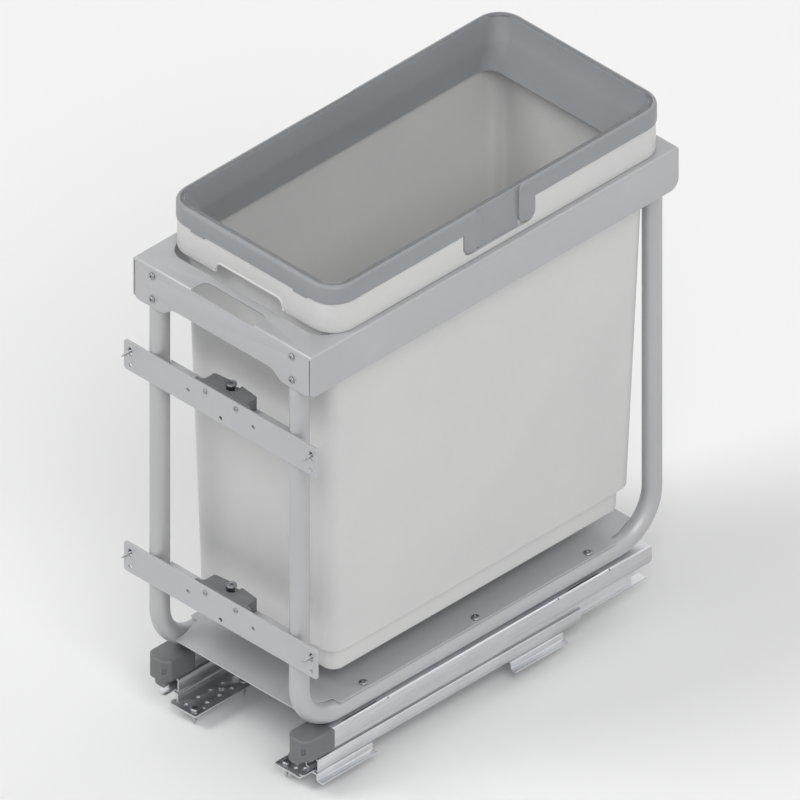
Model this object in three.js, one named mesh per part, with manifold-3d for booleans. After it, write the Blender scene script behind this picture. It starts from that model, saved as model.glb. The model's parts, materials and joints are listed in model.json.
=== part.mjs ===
// A pull-out waste bin unit for a base cabinet. Two bent tubes on telescopic runners carry a sheet-metal
// collar, and a tall bin with a clip-on bag ring hangs in it. Two strips at the front take the cabinet's door.
//
// Millimetres, +Z up, +X to the right, the door side at -Y. The origin is the middle of the plane on which
// the runner brackets stand. "From the front" means behind the collar's front face.

import * as THREE from "three";
import { mergeVertices } from "three/addons/utils/BufferGeometryUtils.js";
import Module from "manifold-3d";

const wasm = await Module();
wasm.setup();

// ---------------------------------------------------------------- driving sizes

const seat_gap = 0.3; // clearance between two pieces that rest on each other
const sheet = 1.5; // steel sheet of the collar, the base plate and the rails

// collar
const collar_width = 265;
const collar_depth = 548;
const collar_top = 569; // height of its top above the cabinet floor
const collar_flange = 52;
const collar_arch = 11.4; // how far the flange is cut up between the tubes
const collar_arch_low = 94; // half width of the arch at its mouth
const collar_arch_high = 68; // half width of the arch at its top
const collar_bend = 2.5;
const collar_front_corner = 6;
const collar_rear_corner = 12.5;
const corner_slit = 1.4;
const hand_slot_width = 94;
const hand_slot_back = 22; // from the front
const hand_slot_corner = 9;

// tubes
const tube_spacing = 208; // centre to centre
const tube_diameter = 22;
const tube_wall = 1.5;
const tube_bend = 54.5; // to the centre line
const tube_press_ease = 8; // length over which the tube's ends go from round to pressed

// runners, from the floor up
const bracket_sheet = 2;
const bracket_height = 10;
const runner_top = 59.4;
const runner_width = 25.2;
const rail_bend = 2;
const drawer_rail_side = 22.4; // height of its sides
const drawer_rail_front = 8.5; // from the front
const drawer_rail_rear_inset = 24; // ahead of the collar's rear face
const cabinet_rail_front = 30;
const cabinet_rail_rear_inset = 22;
const cabinet_rail_tail = 104; // behind the end of its sides
const cabinet_rail_side = 16;
const cabinet_rail_width = 18.6;
const middle_rail_front = 52;
const middle_rail_rear_inset = 48;
const rail_lip = 2.6;
const front_rail_slot = [66, 117]; // in the drawer rail's top, from the front
const rear_rail_slot = [146, 101]; // ahead of the collar's rear face
const rail_slot_width = 1.8;
const rail_slot_inset = 2.5; // from the rail's outer face
const drawer_rail_corner = 6;
const cabinet_rail_lip = 1.6;
const rail_tab_front = 13; // tab on the cabinet rail's front end, from the front
const rail_tab_half = 4;
const cabinet_rail_tail_cut = 7; // the tail is this much narrower on its outer side
const tail_slot_start = 10; // behind the end of the sides
const tail_slot_length = 48;
const tail_slot_width = 4;
const cage_length = 230;
const lower_cage_front = 142;
const upper_cage_front = 160;
const roller_count = 4;
const roller_diameter = 3.8;
const cage_thickness = 3;
const cage_margin = 0.4; // the rollers' ends beyond the cage's edges
const middle_rail_flange = 1.8; // foot of the middle rail beyond its web

// runner brackets
const bracket_inner_reach = 45; // flange from the runner's centre towards the middle
const bracket_outer_reach = 18;
const front_bracket_start = 18.8;
const front_bracket_hat_start = 28;
const front_bracket_end = 110;
const rear_bracket_length = 78;
const rear_bracket_inset = 154; // ahead of the collar's rear face
const bracket_tab = 6.5; // end of the front bracket's flange, from the runner's centre
const bracket_small_corner = 2.5;
const hole_pitch = 18.4;
const hole_column_gap = 13.7;
const hole_edge = 9.4; // outer column to the flange's inner edge
const hole_start = 9.1; // first row behind the bracket's front edge
const hole_diameter = 4.8;

// runner caps
const cap_width = 30.2;
const cap_front = 6;
const cap_rear = 49.7;
const cap_corner = 8.2;
const cap_top_wall = 1.7;
const cap_drop = 1.8; // the cap's sides below the rail's sides
const cap_tongue = 8;
const cap_window = 8.5;
const cap_window_depth = 2.4;
const cap_notch = 11; // length of the slope at the lower rear corner
const cap_notch_height = 7;
const cap_edge = 2.6;
const cap_tongue_width = 15.2;
const cap_tongue_back = 5.6; // thickness from front to rear
const cap_wall = 3; // front wall below the rail
const cap_side_wall = 3;

// soft-close dampers
const damper_diameter = 12;
const damper_inset = 54; // ahead of the collar's rear face
const damper_length = 96;
const damper_rod = 34;
const damper_height = 30; // axis above the floor
const damper_offset = 22.6; // axis to the runner's centre
const damper_rod_diameter = 3;
const damper_edge = 1;
const damper_foot_width = 6;
const damper_foot_front = 34; // behind the cylinder's front end
const damper_foot_rear = 8; // ahead of its rear end
const damper_foot_thickness = 3;
const damper_foot_reach = 6; // onto the cabinet rail
const catch_thickness = 3;
const catch_height = 9;
const catch_arm = 4;

// base plate
const plate_shoulder = 1.3; // how far its wide part reaches past the start of the tubes' bends
const plate_shoulder_ease = 6;
const plate_half_width = 112;
const tongue_front = 22;
const tongue_rear_inset = 29;
const tongue_corner = 4;
const plate_screw_inset = 106.5; // end screws from the collar's front and rear faces

// bin
const rim_width = 250.4;
const rim_front = 40.5;
const rim_rear_inset = 9.1; // ahead of the collar's rear face
const rim_height = 37.5; // above the collar
const rim_reach = 10.7; // from the wall out to the skirt
const rim_rear_reach = 12.6;
const rim_corner = 30;
const rim_seat = 7.2; // how far the skirt overlaps the collar
const rim_finger_gap = 8.5; // opening left in front of the skirt
const bin_wall = 2;
const bin_draft = 0.0235; // of the sides and the front
const bin_rear_draft = 0.036;
const bin_corner = 18;
const bin_bottom = 107;
const bin_foot_height = 30;
const bin_foot_inset = 8.3;
const bin_edge = 7; // rounding at the bottom
const bin_step = 5; // height of the slope above the foot
const rim_edge = 1.5;
const notch_width = 98.8;
const notch_height = 14.8;
const notch_corner = 8;
const pocket_depth = 4;
const pocket_ledge = 8; // above the collar

// bag ring
const ring_height = 22.5;
const ring_proud = 1.2;
const ring_edge = 4.5;
const ring_band_wall = 3.2;
const ring_skin = 1.6;
const ring_inner_inset = 9.9; // band face to the ring's inner edge
const funnel_depth = 54;
const funnel_side_inset = 9.4;
const funnel_end_inset = 26;
const lobe_width = 24.5;
const lobe_gap = 57;
const lobe_depth = 26.7; // below the bottom of the band
const lobe_middle = 288; // from the front
const lobe_lower_corner = 11.5;
const lobe_upper_corner = 9;
const neck_height = 2; // start of the funnel above the band's lower edge
const ring_panel = 1.7; // wall between the lobes
const snap_inner = 66;
const snap_outer = 86;
const snap_height = 2.6;

// door strips and their adjusters
const strip_length = 288;
const strip_height = 37.5;
const strip_thickness = 2.5;
const strip_corner = 4;
const strip_proud = 2.4; // in front of the collar's face
const upper_strip_bottom = 421;
const lower_strip_bottom = 161;
const strip_screw_x = 22.8;
const strip_screw_up = 11; // above the strip's middle
const strip_hole_x = 48.4;
const strip_end_inset = 9.2; // end holes from the strip's ends
const strip_slot_up = 6.3;
const strip_slot_length = 11;
const strip_hole_down = 11.6;
const strip_low_hole_down = 12.4;
const strip_hole_diameter = 5;
const housing_flange_half = 41;
const housing_half = 32;
const housing_back = 21.4; // its rear corners, from the front
const housing_bulge = 3.4; // the middle of its rear face behind the corners
const housing_rear_corner = 1.6;
const housing_corner = 7;
const housing_flange_proud = 1; // the flange's rim beyond the strip's edges
const housing_flange_thickness = 2.4;
const housing_flange_corner = 2;
const housing_bottom_inset = 1;
const housing_top_wall = 3;
const crossbar_thickness = 10;
const crossbar_height = 20;
const crossbar_back = 21.5; // from the front
const crossbar_end = 7.7; // from the tube's axis
const cam_back = 14.2; // the screw's axis, from the front
const cam_offset = 2.3; // pin's axis behind the screw's
const cam_pin_diameter = 3;
const cam_pin_entry = 12.6; // from the housing's top wall down to the crossbar
const cam_shank_diameter = 7.6;
const cam_head_diameter = 11.4;
const cam_head_height = 2.8;
const cam_head_rise = 8.8; // underside of the head above the well's floor
const cam_washer_diameter = 11;
const cam_washer_height = 1;
const cam_well_half = 6.2;
const cam_well_depth = 5;
const cam_head_edge = 0.6;
const cam_recess_half = 2.6;
const cam_recess_width = 1.2;
const cam_recess_depth = 1.4;
const cam_pin_length = 4;
const cam_slot_depth = 5;
const pin_clearance = 0.45;

// fasteners
const small_screw = { head: 7.6, height: 2.2, shank: 3.6, length: 6.5, point: 1 };
const plate_screw = { head: 10, height: 2.6, shank: 3.6, length: 7, point: 1 };
const strip_screw = { head: 6, height: 1.4, shank: 3.2, length: 8, point: 1 };
const wood_screw = { head: 10, height: 3, shank: 4.2, length: 19.6, point: 6 };
const door_screw = { head: 7.4, height: 2, shank: 3.6, length: 16.5, point: 6 };
const screw_clearance = 0.35; // radial, shank in its hole
const screw_rows = [11, 41]; // collar screws below the collar's top

// ---------------------------------------------------------------- sizes that follow

const front = -collar_depth / 2;
const tube_x = tube_spacing / 2;
const tube_radius = tube_diameter / 2;
const tube_inset = tube_radius + seat_gap; // leg axis behind the flange's face
const tube_pressed = tube_inset - sheet - seat_gap; // outer half of the section behind the flange
const tube_run = runner_top + seat_gap + tube_radius; // height of the bottom run's axis
const plate_bottom = tube_run + tube_radius + seat_gap;
const drawer_rail_rear = collar_depth - drawer_rail_rear_inset;
const cabinet_rail_rear = collar_depth - cabinet_rail_rear_inset;
const cabinet_rail_side_rear = cabinet_rail_rear - cabinet_rail_tail;
const middle_rail_rear = collar_depth - middle_rail_rear_inset;
const rail_slots = [front_rail_slot, rear_rail_slot.map((inset) => collar_depth - inset)];
const rear_bracket_end = collar_depth - rear_bracket_inset;
const rear_bracket_start = rear_bracket_end - rear_bracket_length;
const damper_front = collar_depth - damper_inset - damper_length;
const tongue_rear = collar_depth - tongue_rear_inset;
const plate_screw_rows = [plate_screw_inset, collar_depth / 2, collar_depth - plate_screw_inset];
const rim_length = collar_depth - rim_front - rim_rear_inset;
const bin_front = rim_front + rim_reach;
const bin_back = rim_front + rim_length - rim_rear_reach;
const bin_half = rim_width / 2 - rim_reach;
const rim_top = collar_top + rim_height;
const opening = {
  half: rim_width / 2 - rim_seat,
  y0: rim_front - rim_finger_gap,
  y1: rim_front + rim_length - rim_seat,
  r: rim_corner - rim_seat + 3,
};
const hat_half = cabinet_rail_width / 2 + 1.2;
const lobe_half_reach = lobe_gap / 2 + lobe_width;
const strip_end_x = strip_length / 2 - strip_end_inset;

const material = (color, roughness, metalness) => new THREE.MeshStandardMaterial({ color, roughness, metalness });
const coated_steel = material(0xe6e7e8, 0.45, 0.3);
const zinc = material(0xb9bdc1, 0.35, 0.9);
const screw_steel = material(0x8f9499, 0.3, 0.95);
const bin_plastic = material(0xdadcdd, 0.5, 0);
const ring_plastic = material(0xc4c8cb, 0.45, 0);
const cap_plastic = material(0x5c6166, 0.55, 0);
const roller_plastic = material(0xf0efe8, 0.4, 0);

// ---------------------------------------------------------------- shapes and solids

const axis_x = new THREE.Vector3(1, 0, 0);
const axis_y = new THREE.Vector3(0, 1, 0);
const axis_z = new THREE.Vector3(0, 0, 1);

/** A closed geometry as a solid that can be joined and cut. */
function solid(geometry) {
  geometry.deleteAttribute("normal");
  geometry.deleteAttribute("uv");
  const merged = mergeVertices(geometry, 1e-4);
  const index = merged.index.array;
  const triangles = [];
  for (let i = 0; i < index.length; i += 3) {
    const [a, b, c] = [index[i], index[i + 1], index[i + 2]];
    if (a !== b && b !== c && c !== a) triangles.push(a, b, c);
  }
  return new wasm.Manifold(new wasm.Mesh({
    numProp: 3,
    vertProperties: merged.attributes.position.array,
    triVerts: Uint32Array.from(triangles),
  }));
}

/** The solid's faces as a geometry. */
function geometryOf(part) {
  const { vertProperties, triVerts } = part.getMesh();
  const geometry = new THREE.BufferGeometry();
  geometry.setAttribute("position", new THREE.BufferAttribute(vertProperties, 3));
  geometry.setIndex(new THREE.BufferAttribute(triVerts, 1));
  return geometry;
}

const join = (first, ...rest) => rest.reduce((sum, next) => sum.add(next), first);
const cut = (first, ...rest) => rest.reduce((left, next) => left.subtract(next), first);

function box(x0, x1, y0, y1, z0, z1) {
  const geometry = new THREE.BoxGeometry(x1 - x0, y1 - y0, z1 - z0);
  geometry.translate((x0 + x1) / 2, (y0 + y1) / 2, (z0 + z1) / 2);
  return solid(geometry);
}

/** A shape drawn in X and Y, between two heights. */
function prismZ(shape, z0, z1, arc_steps = 5) {
  const geometry = new THREE.ExtrudeGeometry(shape, { depth: z1 - z0, bevelEnabled: false, curveSegments: arc_steps });
  geometry.translate(0, 0, z0);
  return solid(geometry);
}

/** A shape drawn in Y and Z, between two X. */
function prismX(shape, x0, x1, arc_steps = 5) {
  const geometry = new THREE.ExtrudeGeometry(shape, { depth: x1 - x0, bevelEnabled: false, curveSegments: arc_steps });
  geometry.applyMatrix4(new THREE.Matrix4().makeBasis(axis_y, axis_z, axis_x));
  geometry.translate(x0, 0, 0);
  return solid(geometry);
}

/** A shape drawn in X and Z, between two Y. */
function prismY(shape, y0, y1, arc_steps = 5) {
  const geometry = new THREE.ExtrudeGeometry(shape, { depth: y1 - y0, bevelEnabled: false, curveSegments: arc_steps });
  geometry.applyMatrix4(new THREE.Matrix4().makeBasis(axis_x, axis_z, axis_y.clone().negate()));
  geometry.translate(0, y1, 0);
  return solid(geometry);
}

const outline = (points) => new THREE.Shape(points.map(([x, y]) => new THREE.Vector2(x, y)));

/** A rectangle whose corners are rounded: one radius, or [low, high] for the two lower and two upper ones. */
function plate(x0, x1, y0, y1, radius = 0) {
  const [low, high] = Array.isArray(radius) ? radius : [radius, radius];
  const shape = new THREE.Shape();
  shape.moveTo(x0 + low, y0);
  shape.lineTo(x1 - low, y0);
  if (low) shape.absarc(x1 - low, y0 + low, low, -Math.PI / 2, 0, false);
  shape.lineTo(x1, y1 - high);
  if (high) shape.absarc(x1 - high, y1 - high, high, 0, Math.PI / 2, false);
  shape.lineTo(x0 + high, y1);
  if (high) shape.absarc(x0 + high, y1 - high, high, Math.PI / 2, Math.PI, false);
  shape.lineTo(x0, y0 + low);
  if (low) shape.absarc(x0 + low, y0 + low, low, Math.PI, Math.PI * 1.5, false);
  return shape;
}

function disc(x, y, radius) {
  const shape = new THREE.Shape();
  shape.absarc(x, y, radius, 0, Math.PI * 2, false);
  return shape;
}

/**
 * The section of a bent sheet: along one face of the sheet through the points, and back along the other face,
 * which lies to the left. The bends have the given outer radius.
 */
function bentSheet(points, thickness, bend, bend_steps = 2) {
  const face = [];
  const back = [];
  const path = points.map(([x, y]) => new THREE.Vector2(x, y));
  const leftOf = (from, to) => {
    const along = to.clone().sub(from).normalize();
    return new THREE.Vector2(-along.y, along.x);
  };
  const add = (point, normal) => {
    face.push([point.x, point.y]);
    back.unshift([point.x + normal.x * thickness, point.y + normal.y * thickness]);
  };
  add(path[0], leftOf(path[0], path[1]));
  for (let i = 1; i < path.length - 1; i++) {
    const before = leftOf(path[i - 1], path[i]);
    const after = leftOf(path[i], path[i + 1]);
    const turn = Math.atan2(before.cross(after), before.dot(after));
    const to_centre = turn > 0 ? bend : thickness - bend;
    const middle = before.clone().add(after).normalize();
    const centre = path[i].clone().addScaledVector(middle, to_centre / Math.cos(turn / 2));
    for (let step = 0; step <= bend_steps; step++) {
      const normal = before.clone().rotateAround(new THREE.Vector2(), turn * step / bend_steps);
      add(centre.clone().addScaledVector(normal, -to_centre), normal);
    }
  }
  add(path.at(-1), leftOf(path.at(-2), path.at(-1)));
  return outline([...face, ...back]);
}

const loft_corner_steps = 5;

/** The points of a rounded rectangle at one height, counter-clockwise from above. */
function ringPoints({ half, y0, y1, r, z }) {
  const corners = [[half - r, y0 + r, -90], [half - r, y1 - r, 0], [r - half, y1 - r, 90], [r - half, y0 + r, 180]];
  return corners.flatMap(([x, y, start]) => Array.from({ length: loft_corner_steps + 1 }, (_, step) => {
    const angle = THREE.MathUtils.degToRad(start + 90 * step / loft_corner_steps);
    return [x + r * Math.cos(angle), front + y + r * Math.sin(angle), z];
  }));
}

/**
 * A skin over rounded rectangles that runs up the outside and down the inside. A closed skin joins the last
 * ring to the first; an open one gets a flat end at its first and at its last ring.
 */
function loft(rings, closed) {
  const rows = rings.map(ringPoints);
  const size = rows[0].length;
  const positions = rows.flat(2);
  const index = [];
  const row_pairs = closed ? rows.length : rows.length - 1;
  for (let i = 0; i < row_pairs; i++) {
    const low = i * size;
    const high = ((i + 1) % rows.length) * size;
    for (let j = 0; j < size; j++) {
      const k = (j + 1) % size;
      index.push(low + j, low + k, high + k, low + j, high + k, high + j);
    }
  }
  if (!closed) {
    for (const [row, facing_up] of [[0, false], [rows.length - 1, true]]) {
      const { y0, y1, z } = rings[row];
      const centre = positions.length / 3;
      positions.push(0, front + (y0 + y1) / 2, z);
      for (let j = 0; j < size; j++) {
        const edge = [row * size + j, row * size + (j + 1) % size];
        index.push(centre, ...(facing_up ? edge : edge.reverse()));
      }
    }
  }
  const geometry = new THREE.BufferGeometry();
  geometry.setAttribute("position", new THREE.Float32BufferAttribute(positions, 3));
  geometry.setIndex(index);
  return solid(geometry);
}

/** A turned piece about +Z from the [radius, height] points of its outline, from its lower end to its upper one. */
function turned(points, sides) {
  const geometry = new THREE.LatheGeometry(points.map(([r, z]) => new THREE.Vector2(r, z)), sides);
  geometry.rotateX(Math.PI / 2);
  return solid(geometry);
}

const rodZ = (x, y, radius, z0, z1) => prismZ(disc(x, y, radius), z0, z1, 4);
const rodY = (x, z, radius, y0, y1) => prismY(disc(x, z, radius), y0, y1, 4);

/** A screw along +Z: its head stands on the plane Z = 0, and its shank goes down from it. */
function screw({ head, height, shank, length, point }, recess) {
  const body = turned([
    [0, -length], [shank / 2, point - length], [shank / 2, 0], [head / 2, 0], [head / 2, height * 0.45],
    [head * 0.36, height * 0.9], [0, height],
  ], 8);
  const depth = height * 0.55;
  if (recess === "hex") return cut(body, prismZ(disc(0, 0, head * 0.2), height - depth, height + 1, 3));
  const [reach, blade] = [head * 0.25, head * 0.07];
  return cut(
    body,
    box(-reach, reach, -blade, blade, height - depth, height + 1),
    box(-blade, blade, -reach, reach, height - depth, height + 1),
  );
}

// ---------------------------------------------------------------- the scene graph

const unit = new THREE.Group();
const taken = new Set();

function place(name, geometry, finish, position = [0, 0, 0], rotation = [0, 0, 0]) {
  if (taken.has(name)) throw new Error(`two pieces are called ${name}`);
  taken.add(name);
  const mesh = new THREE.Mesh(geometry, finish);
  mesh.name = name;
  mesh.position.set(...position);
  mesh.rotation.set(...rotation);
  mesh.geometry.computeVertexNormals();
  unit.add(mesh);
}

/** A geometry reflected in the unit's middle plane. */
function reflected(geometry) {
  const copy = geometry.clone();
  copy.scale(-1, 1, 1);
  const index = copy.index.array;
  for (let i = 0; i < index.length; i += 3) [index[i], index[i + 1]] = [index[i + 1], index[i]];
  return copy;
}

/** The right-hand piece as drawn, and its reflection on the left. */
function placePair(name, part, finish) {
  const geometry = geometryOf(part);
  place(`right_${name}`, geometry, finish);
  place(`left_${name}`, reflected(geometry), finish);
}

// ---------------------------------------------------------------- collar

const screw_hole = small_screw.shank / 2 + screw_clearance;

function collar() {
  const half = collar_width / 2;
  const bottom = collar_top - collar_flange;
  const hull = (inset, low) => {
    const [x, y0, y1] = [half - inset, front + inset, front + collar_depth - inset];
    const corners = [0, collar_bend - inset];
    return prismY(plate(-x, x, low, collar_top - inset, corners), y0, y1, 3)
      .intersect(prismX(plate(y0, y1, low, collar_top - inset, corners), -x, x, 3));
  };
  let part = cut(hull(0, bottom), hull(sheet, bottom - 1));

  // bin opening and hand slot, which breaks through the front bend
  part = cut(
    part,
    prismZ(plate(-opening.half, opening.half, front + opening.y0, front + opening.y1, opening.r),
      collar_top - 2 * sheet, collar_top + 1, 8),
    prismZ(plate(-hand_slot_width / 2, hand_slot_width / 2, front - 1, front + hand_slot_back, [0, hand_slot_corner]),
      collar_top - collar_bend * 0.8, collar_top + 1),
  );

  // arches between the tubes, at the front and at the rear
  const arch = new THREE.Shape();
  const arch_top = bottom + collar_arch;
  const ease = (collar_arch_low - collar_arch_high) / 2;
  arch.moveTo(-collar_arch_low, bottom - 1);
  arch.lineTo(-collar_arch_low, bottom);
  arch.bezierCurveTo(-collar_arch_low + ease, bottom, -collar_arch_high - ease, arch_top, -collar_arch_high, arch_top);
  arch.lineTo(collar_arch_high, arch_top);
  arch.bezierCurveTo(collar_arch_high + ease, arch_top, collar_arch_low - ease, bottom, collar_arch_low, bottom);
  arch.lineTo(collar_arch_low, bottom - 1);
  for (const y of [front, front + collar_depth - sheet]) part = cut(part, prismY(arch, y - 1, y + sheet + 1, 6));

  // open slits at the four corners, and rounded lower corners of the four flanges
  for (const side of [-1, 1]) {
    const slit = [half - sheet - corner_slit, half - sheet].map((x) => side * x).sort((a, b) => a - b);
    for (const y of [front, front + collar_depth - sheet]) {
      part = cut(part, box(...slit, y - 1, y + sheet + 0.2, bottom - 1, collar_top - collar_bend - 1));
      const corner = cornerWaste(side * (half - sheet - corner_slit), bottom, collar_front_corner, -side, 1);
      part = cut(part, prismY(corner, y - 1, y + sheet + 0.2));
    }
    const wall = [half - sheet - 0.2, half + 1].map((x) => side * x).sort((a, b) => a - b);
    part = cut(
      part,
      prismX(cornerWaste(front, bottom, collar_front_corner, 1, 1), ...wall),
      prismX(cornerWaste(front + collar_depth, bottom, collar_rear_corner, -1, 1), ...wall),
    );
    for (const row of screw_rows) {
      const z = collar_top - row;
      part = cut(part, rodY(side * tube_x, z, screw_hole, front - 1, front + sheet + 1),
        rodY(side * tube_x, z, screw_hole, front + collar_depth - sheet - 1, front + collar_depth + 1));
    }
  }
  return part;
}

/** What is taken off a square corner to round it. The piece lies on the +u or -u, +v or -v side of the corner. */
function cornerWaste(u, v, radius, side_u, side_v) {
  const margin = 1;
  const points = [[u - side_u * margin, v + side_v * radius], [u - side_u * margin, v - side_v * margin],
    [u + side_u * radius, v - side_v * margin]];
  const steps = 5;
  for (let i = 0; i <= steps; i++) {
    const angle = Math.PI / 2 * i / steps;
    points.push([u + side_u * radius * (1 - Math.sin(angle)), v + side_v * radius * (1 - Math.cos(angle))]);
  }
  return outline(points);
}

place("collar", geometryOf(collar()), coated_steel);

// ---------------------------------------------------------------- tubes

/** A path through given stations, sampled exactly at them. */
class StationPath extends THREE.Curve {
  constructor(stations) {
    super();
    this.stations = stations;
  }

  getPoint(t) {
    const place_along = THREE.MathUtils.clamp(t, 0, 1) * (this.stations.length - 1);
    const i = Math.min(Math.floor(place_along), this.stations.length - 2);
    return this.stations[i].clone().lerp(this.stations[i + 1], place_along - i);
  }

  getUtoTmapping(u) {
    return u;
  }
}

function tube() {
  const leg_top = collar_top - sheet - seat_gap;
  const [y_front, y_rear] = [front + tube_inset, front + collar_depth - tube_inset];
  const press_high = collar_top - collar_flange - sheet;
  const press_low = press_high - tube_press_ease;
  const stations = [leg_top, press_high, press_low].map((z) => new THREE.Vector3(tube_x, y_front, z));
  const bend_steps = 7;
  const addBend = (y, start) => {
    for (let i = 0; i <= bend_steps; i++) {
      const angle = start + Math.PI / 2 * i / bend_steps;
      stations.push(new THREE.Vector3(tube_x, y + tube_bend * Math.cos(angle),
        tube_run + tube_bend + tube_bend * Math.sin(angle)));
    }
  };
  addBend(y_front + tube_bend, Math.PI);
  addBend(y_rear - tube_bend, Math.PI * 1.5);
  for (const z of [press_low, press_high, leg_top]) stations.push(new THREE.Vector3(tube_x, y_rear, z));

  const section = disc(0, 0, tube_radius);
  section.holes.push(disc(0, 0, tube_radius - tube_wall));
  const geometry = new THREE.ExtrudeGeometry(section, {
    steps: stations.length - 1, extrudePath: new StationPath(stations), curveSegments: 6,
  });
  // the outer half of both ends is pressed flatter, so that it fits behind the collar's flange
  const position = geometry.attributes.position;
  for (let i = 0; i < position.count; i++) {
    const pressed = THREE.MathUtils.clamp((position.getZ(i) - press_low) / tube_press_ease, 0, 1);
    const axis = position.getY(i) < 0 ? y_front : y_rear;
    const out = position.getY(i) - axis;
    if (out * axis > 0) position.setY(i, axis + out * (1 - pressed * (1 - tube_pressed / tube_radius)));
  }
  let part = solid(geometry);
  for (const row of screw_rows) {
    const z = collar_top - row;
    part = cut(part, rodY(tube_x, z, screw_hole, y_front - tube_radius - 1, y_front),
      rodY(tube_x, z, screw_hole, y_rear, y_rear + tube_radius + 1));
  }
  const plate_hole = plate_screw.shank / 2 + screw_clearance;
  for (const row of plate_screw_rows) {
    part = cut(part, rodZ(tube_x, front + row, plate_hole, tube_run, plate_bottom + 1));
  }
  return part;
}

placePair("tube", tube(), coated_steel);

// ---------------------------------------------------------------- base plate

function basePlate() {
  const tongue_half = tube_x - tube_radius - seat_gap;
  const ease = plate_shoulder_ease;
  const bend_end = tube_inset + tube_bend - plate_shoulder;
  const [y_low, y_high] = [front + bend_end, front + collar_depth - bend_end];
  const [y_tip_low, y_tip_high] = [front + tongue_front, front + tongue_rear];
  const shape = new THREE.Shape();
  const tip_half = tongue_half - tongue_corner;
  shape.moveTo(-tip_half, y_tip_low);
  shape.lineTo(tip_half, y_tip_low);
  shape.quadraticCurveTo(tongue_half, y_tip_low, tongue_half, y_tip_low + tongue_corner);
  shape.lineTo(tongue_half, y_low - ease);
  shape.bezierCurveTo(tongue_half, y_low, plate_half_width, y_low - ease / 2, plate_half_width, y_low + ease);
  shape.lineTo(plate_half_width, y_high - ease);
  shape.bezierCurveTo(plate_half_width, y_high + ease / 2, tongue_half, y_high, tongue_half, y_high + ease);
  shape.lineTo(tongue_half, y_tip_high - tongue_corner);
  shape.quadraticCurveTo(tongue_half, y_tip_high, tip_half, y_tip_high);
  shape.lineTo(-tip_half, y_tip_high);
  shape.quadraticCurveTo(-tongue_half, y_tip_high, -tongue_half, y_tip_high - tongue_corner);
  shape.lineTo(-tongue_half, y_high + ease);
  shape.bezierCurveTo(-tongue_half, y_high, -plate_half_width, y_high + ease / 2, -plate_half_width, y_high - ease);
  shape.lineTo(-plate_half_width, y_low + ease);
  shape.bezierCurveTo(-plate_half_width, y_low - ease / 2, -tongue_half, y_low, -tongue_half, y_low - ease);
  shape.lineTo(-tongue_half, y_tip_low + tongue_corner);
  shape.quadraticCurveTo(-tongue_half, y_tip_low, -tip_half, y_tip_low);
  let part = prismZ(shape, plate_bottom, plate_bottom + sheet);
  for (const side of [-1, 1]) {
    for (const row of plate_screw_rows) {
      part = cut(part, rodZ(side * tube_x, front + row, plate_screw.shank / 2 + screw_clearance,
        plate_bottom - 1, plate_bottom + sheet + 1));
    }
  }
  return part;
}

place("base_plate", geometryOf(basePlate()), coated_steel);

// ---------------------------------------------------------------- bin

/** The bin's outer wall at a height, set in by an amount all round. */
function wallRing(z, inset = 0) {
  const draft = bin_draft * (rim_top - z) + inset;
  const rear_draft = bin_rear_draft * (rim_top - z) + inset;
  return { half: bin_half - draft, y0: bin_front + draft, y1: bin_back - rear_draft, r: bin_corner - inset / 2, z };
}

/** The rim's skirt, set in by an amount all round. */
function skirtRing(z, inset = 0) {
  return {
    half: rim_width / 2 - inset, y0: rim_front + inset, y1: rim_front + rim_length - inset, r: rim_corner - inset, z,
  };
}

function bin() {
  const step = bin_bottom + bin_foot_height - bin_step / 2;
  const skirt_bottom = collar_top + seat_gap;
  const edge = bin_edge;
  const foot = (z, inset = 0) => wallRing(z, bin_foot_inset + inset);
  const inside = (z, inset = 0) => wallRing(z, bin_wall + inset);
  const inner_foot = (z, inset = 0) => wallRing(z, bin_foot_inset + bin_wall + inset);
  let part = loft([
    foot(bin_bottom, edge), foot(bin_bottom + edge * 0.3, edge * 0.3), foot(bin_bottom + edge),
    foot(step), wallRing(step + bin_step, 1), wallRing(step + bin_step + 2),
    wallRing(rim_top - bin_wall),
    skirtRing(rim_top - bin_wall, bin_wall), skirtRing(skirt_bottom, bin_wall), skirtRing(skirt_bottom),
    skirtRing(rim_top - rim_edge), skirtRing(rim_top, rim_edge),
    inside(rim_top),
    inside(step + bin_step + 2), inside(step + bin_step, 1), inner_foot(step),
    inner_foot(bin_bottom + edge), inner_foot(bin_bottom + bin_wall + edge * 0.3, edge * 0.3),
    inner_foot(bin_bottom + bin_wall, edge),
  ], false);

  // hand hold in the front of the skirt
  part = cut(part, prismY(plate(-notch_width / 2, notch_width / 2, skirt_bottom - 1, collar_top + notch_height,
    [0, notch_corner]), front + rim_front - 1, front + rim_front + bin_wall + 1));

  // side pockets that take the ring's lobes
  const reach = lobe_half_reach + 2 * seat_gap;
  const middle = front + lobe_middle;
  const pocket_bottom = collar_top + pocket_ledge;
  const pocket_floor = rim_width / 2 - pocket_depth;
  for (const side of [-1, 1]) {
    const span = (low, high) => [side * low, side * high].sort((a, b) => a - b);
    const wall = box(...span(pocket_floor - bin_wall, rim_width / 2 - bin_wall / 2), middle - reach - bin_wall,
      middle + reach + bin_wall, pocket_bottom - bin_wall, rim_top - bin_wall / 2);
    const hollow = prismX(plate(middle - reach, middle + reach, pocket_bottom, rim_top + lobe_width,
      lobe_width / 2), ...span(pocket_floor, rim_width / 2 + 2));
    part = cut(part.add(wall), hollow);
  }
  return part;
}

place("bin", geometryOf(bin()), bin_plastic);

// ---------------------------------------------------------------- bag ring

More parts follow.
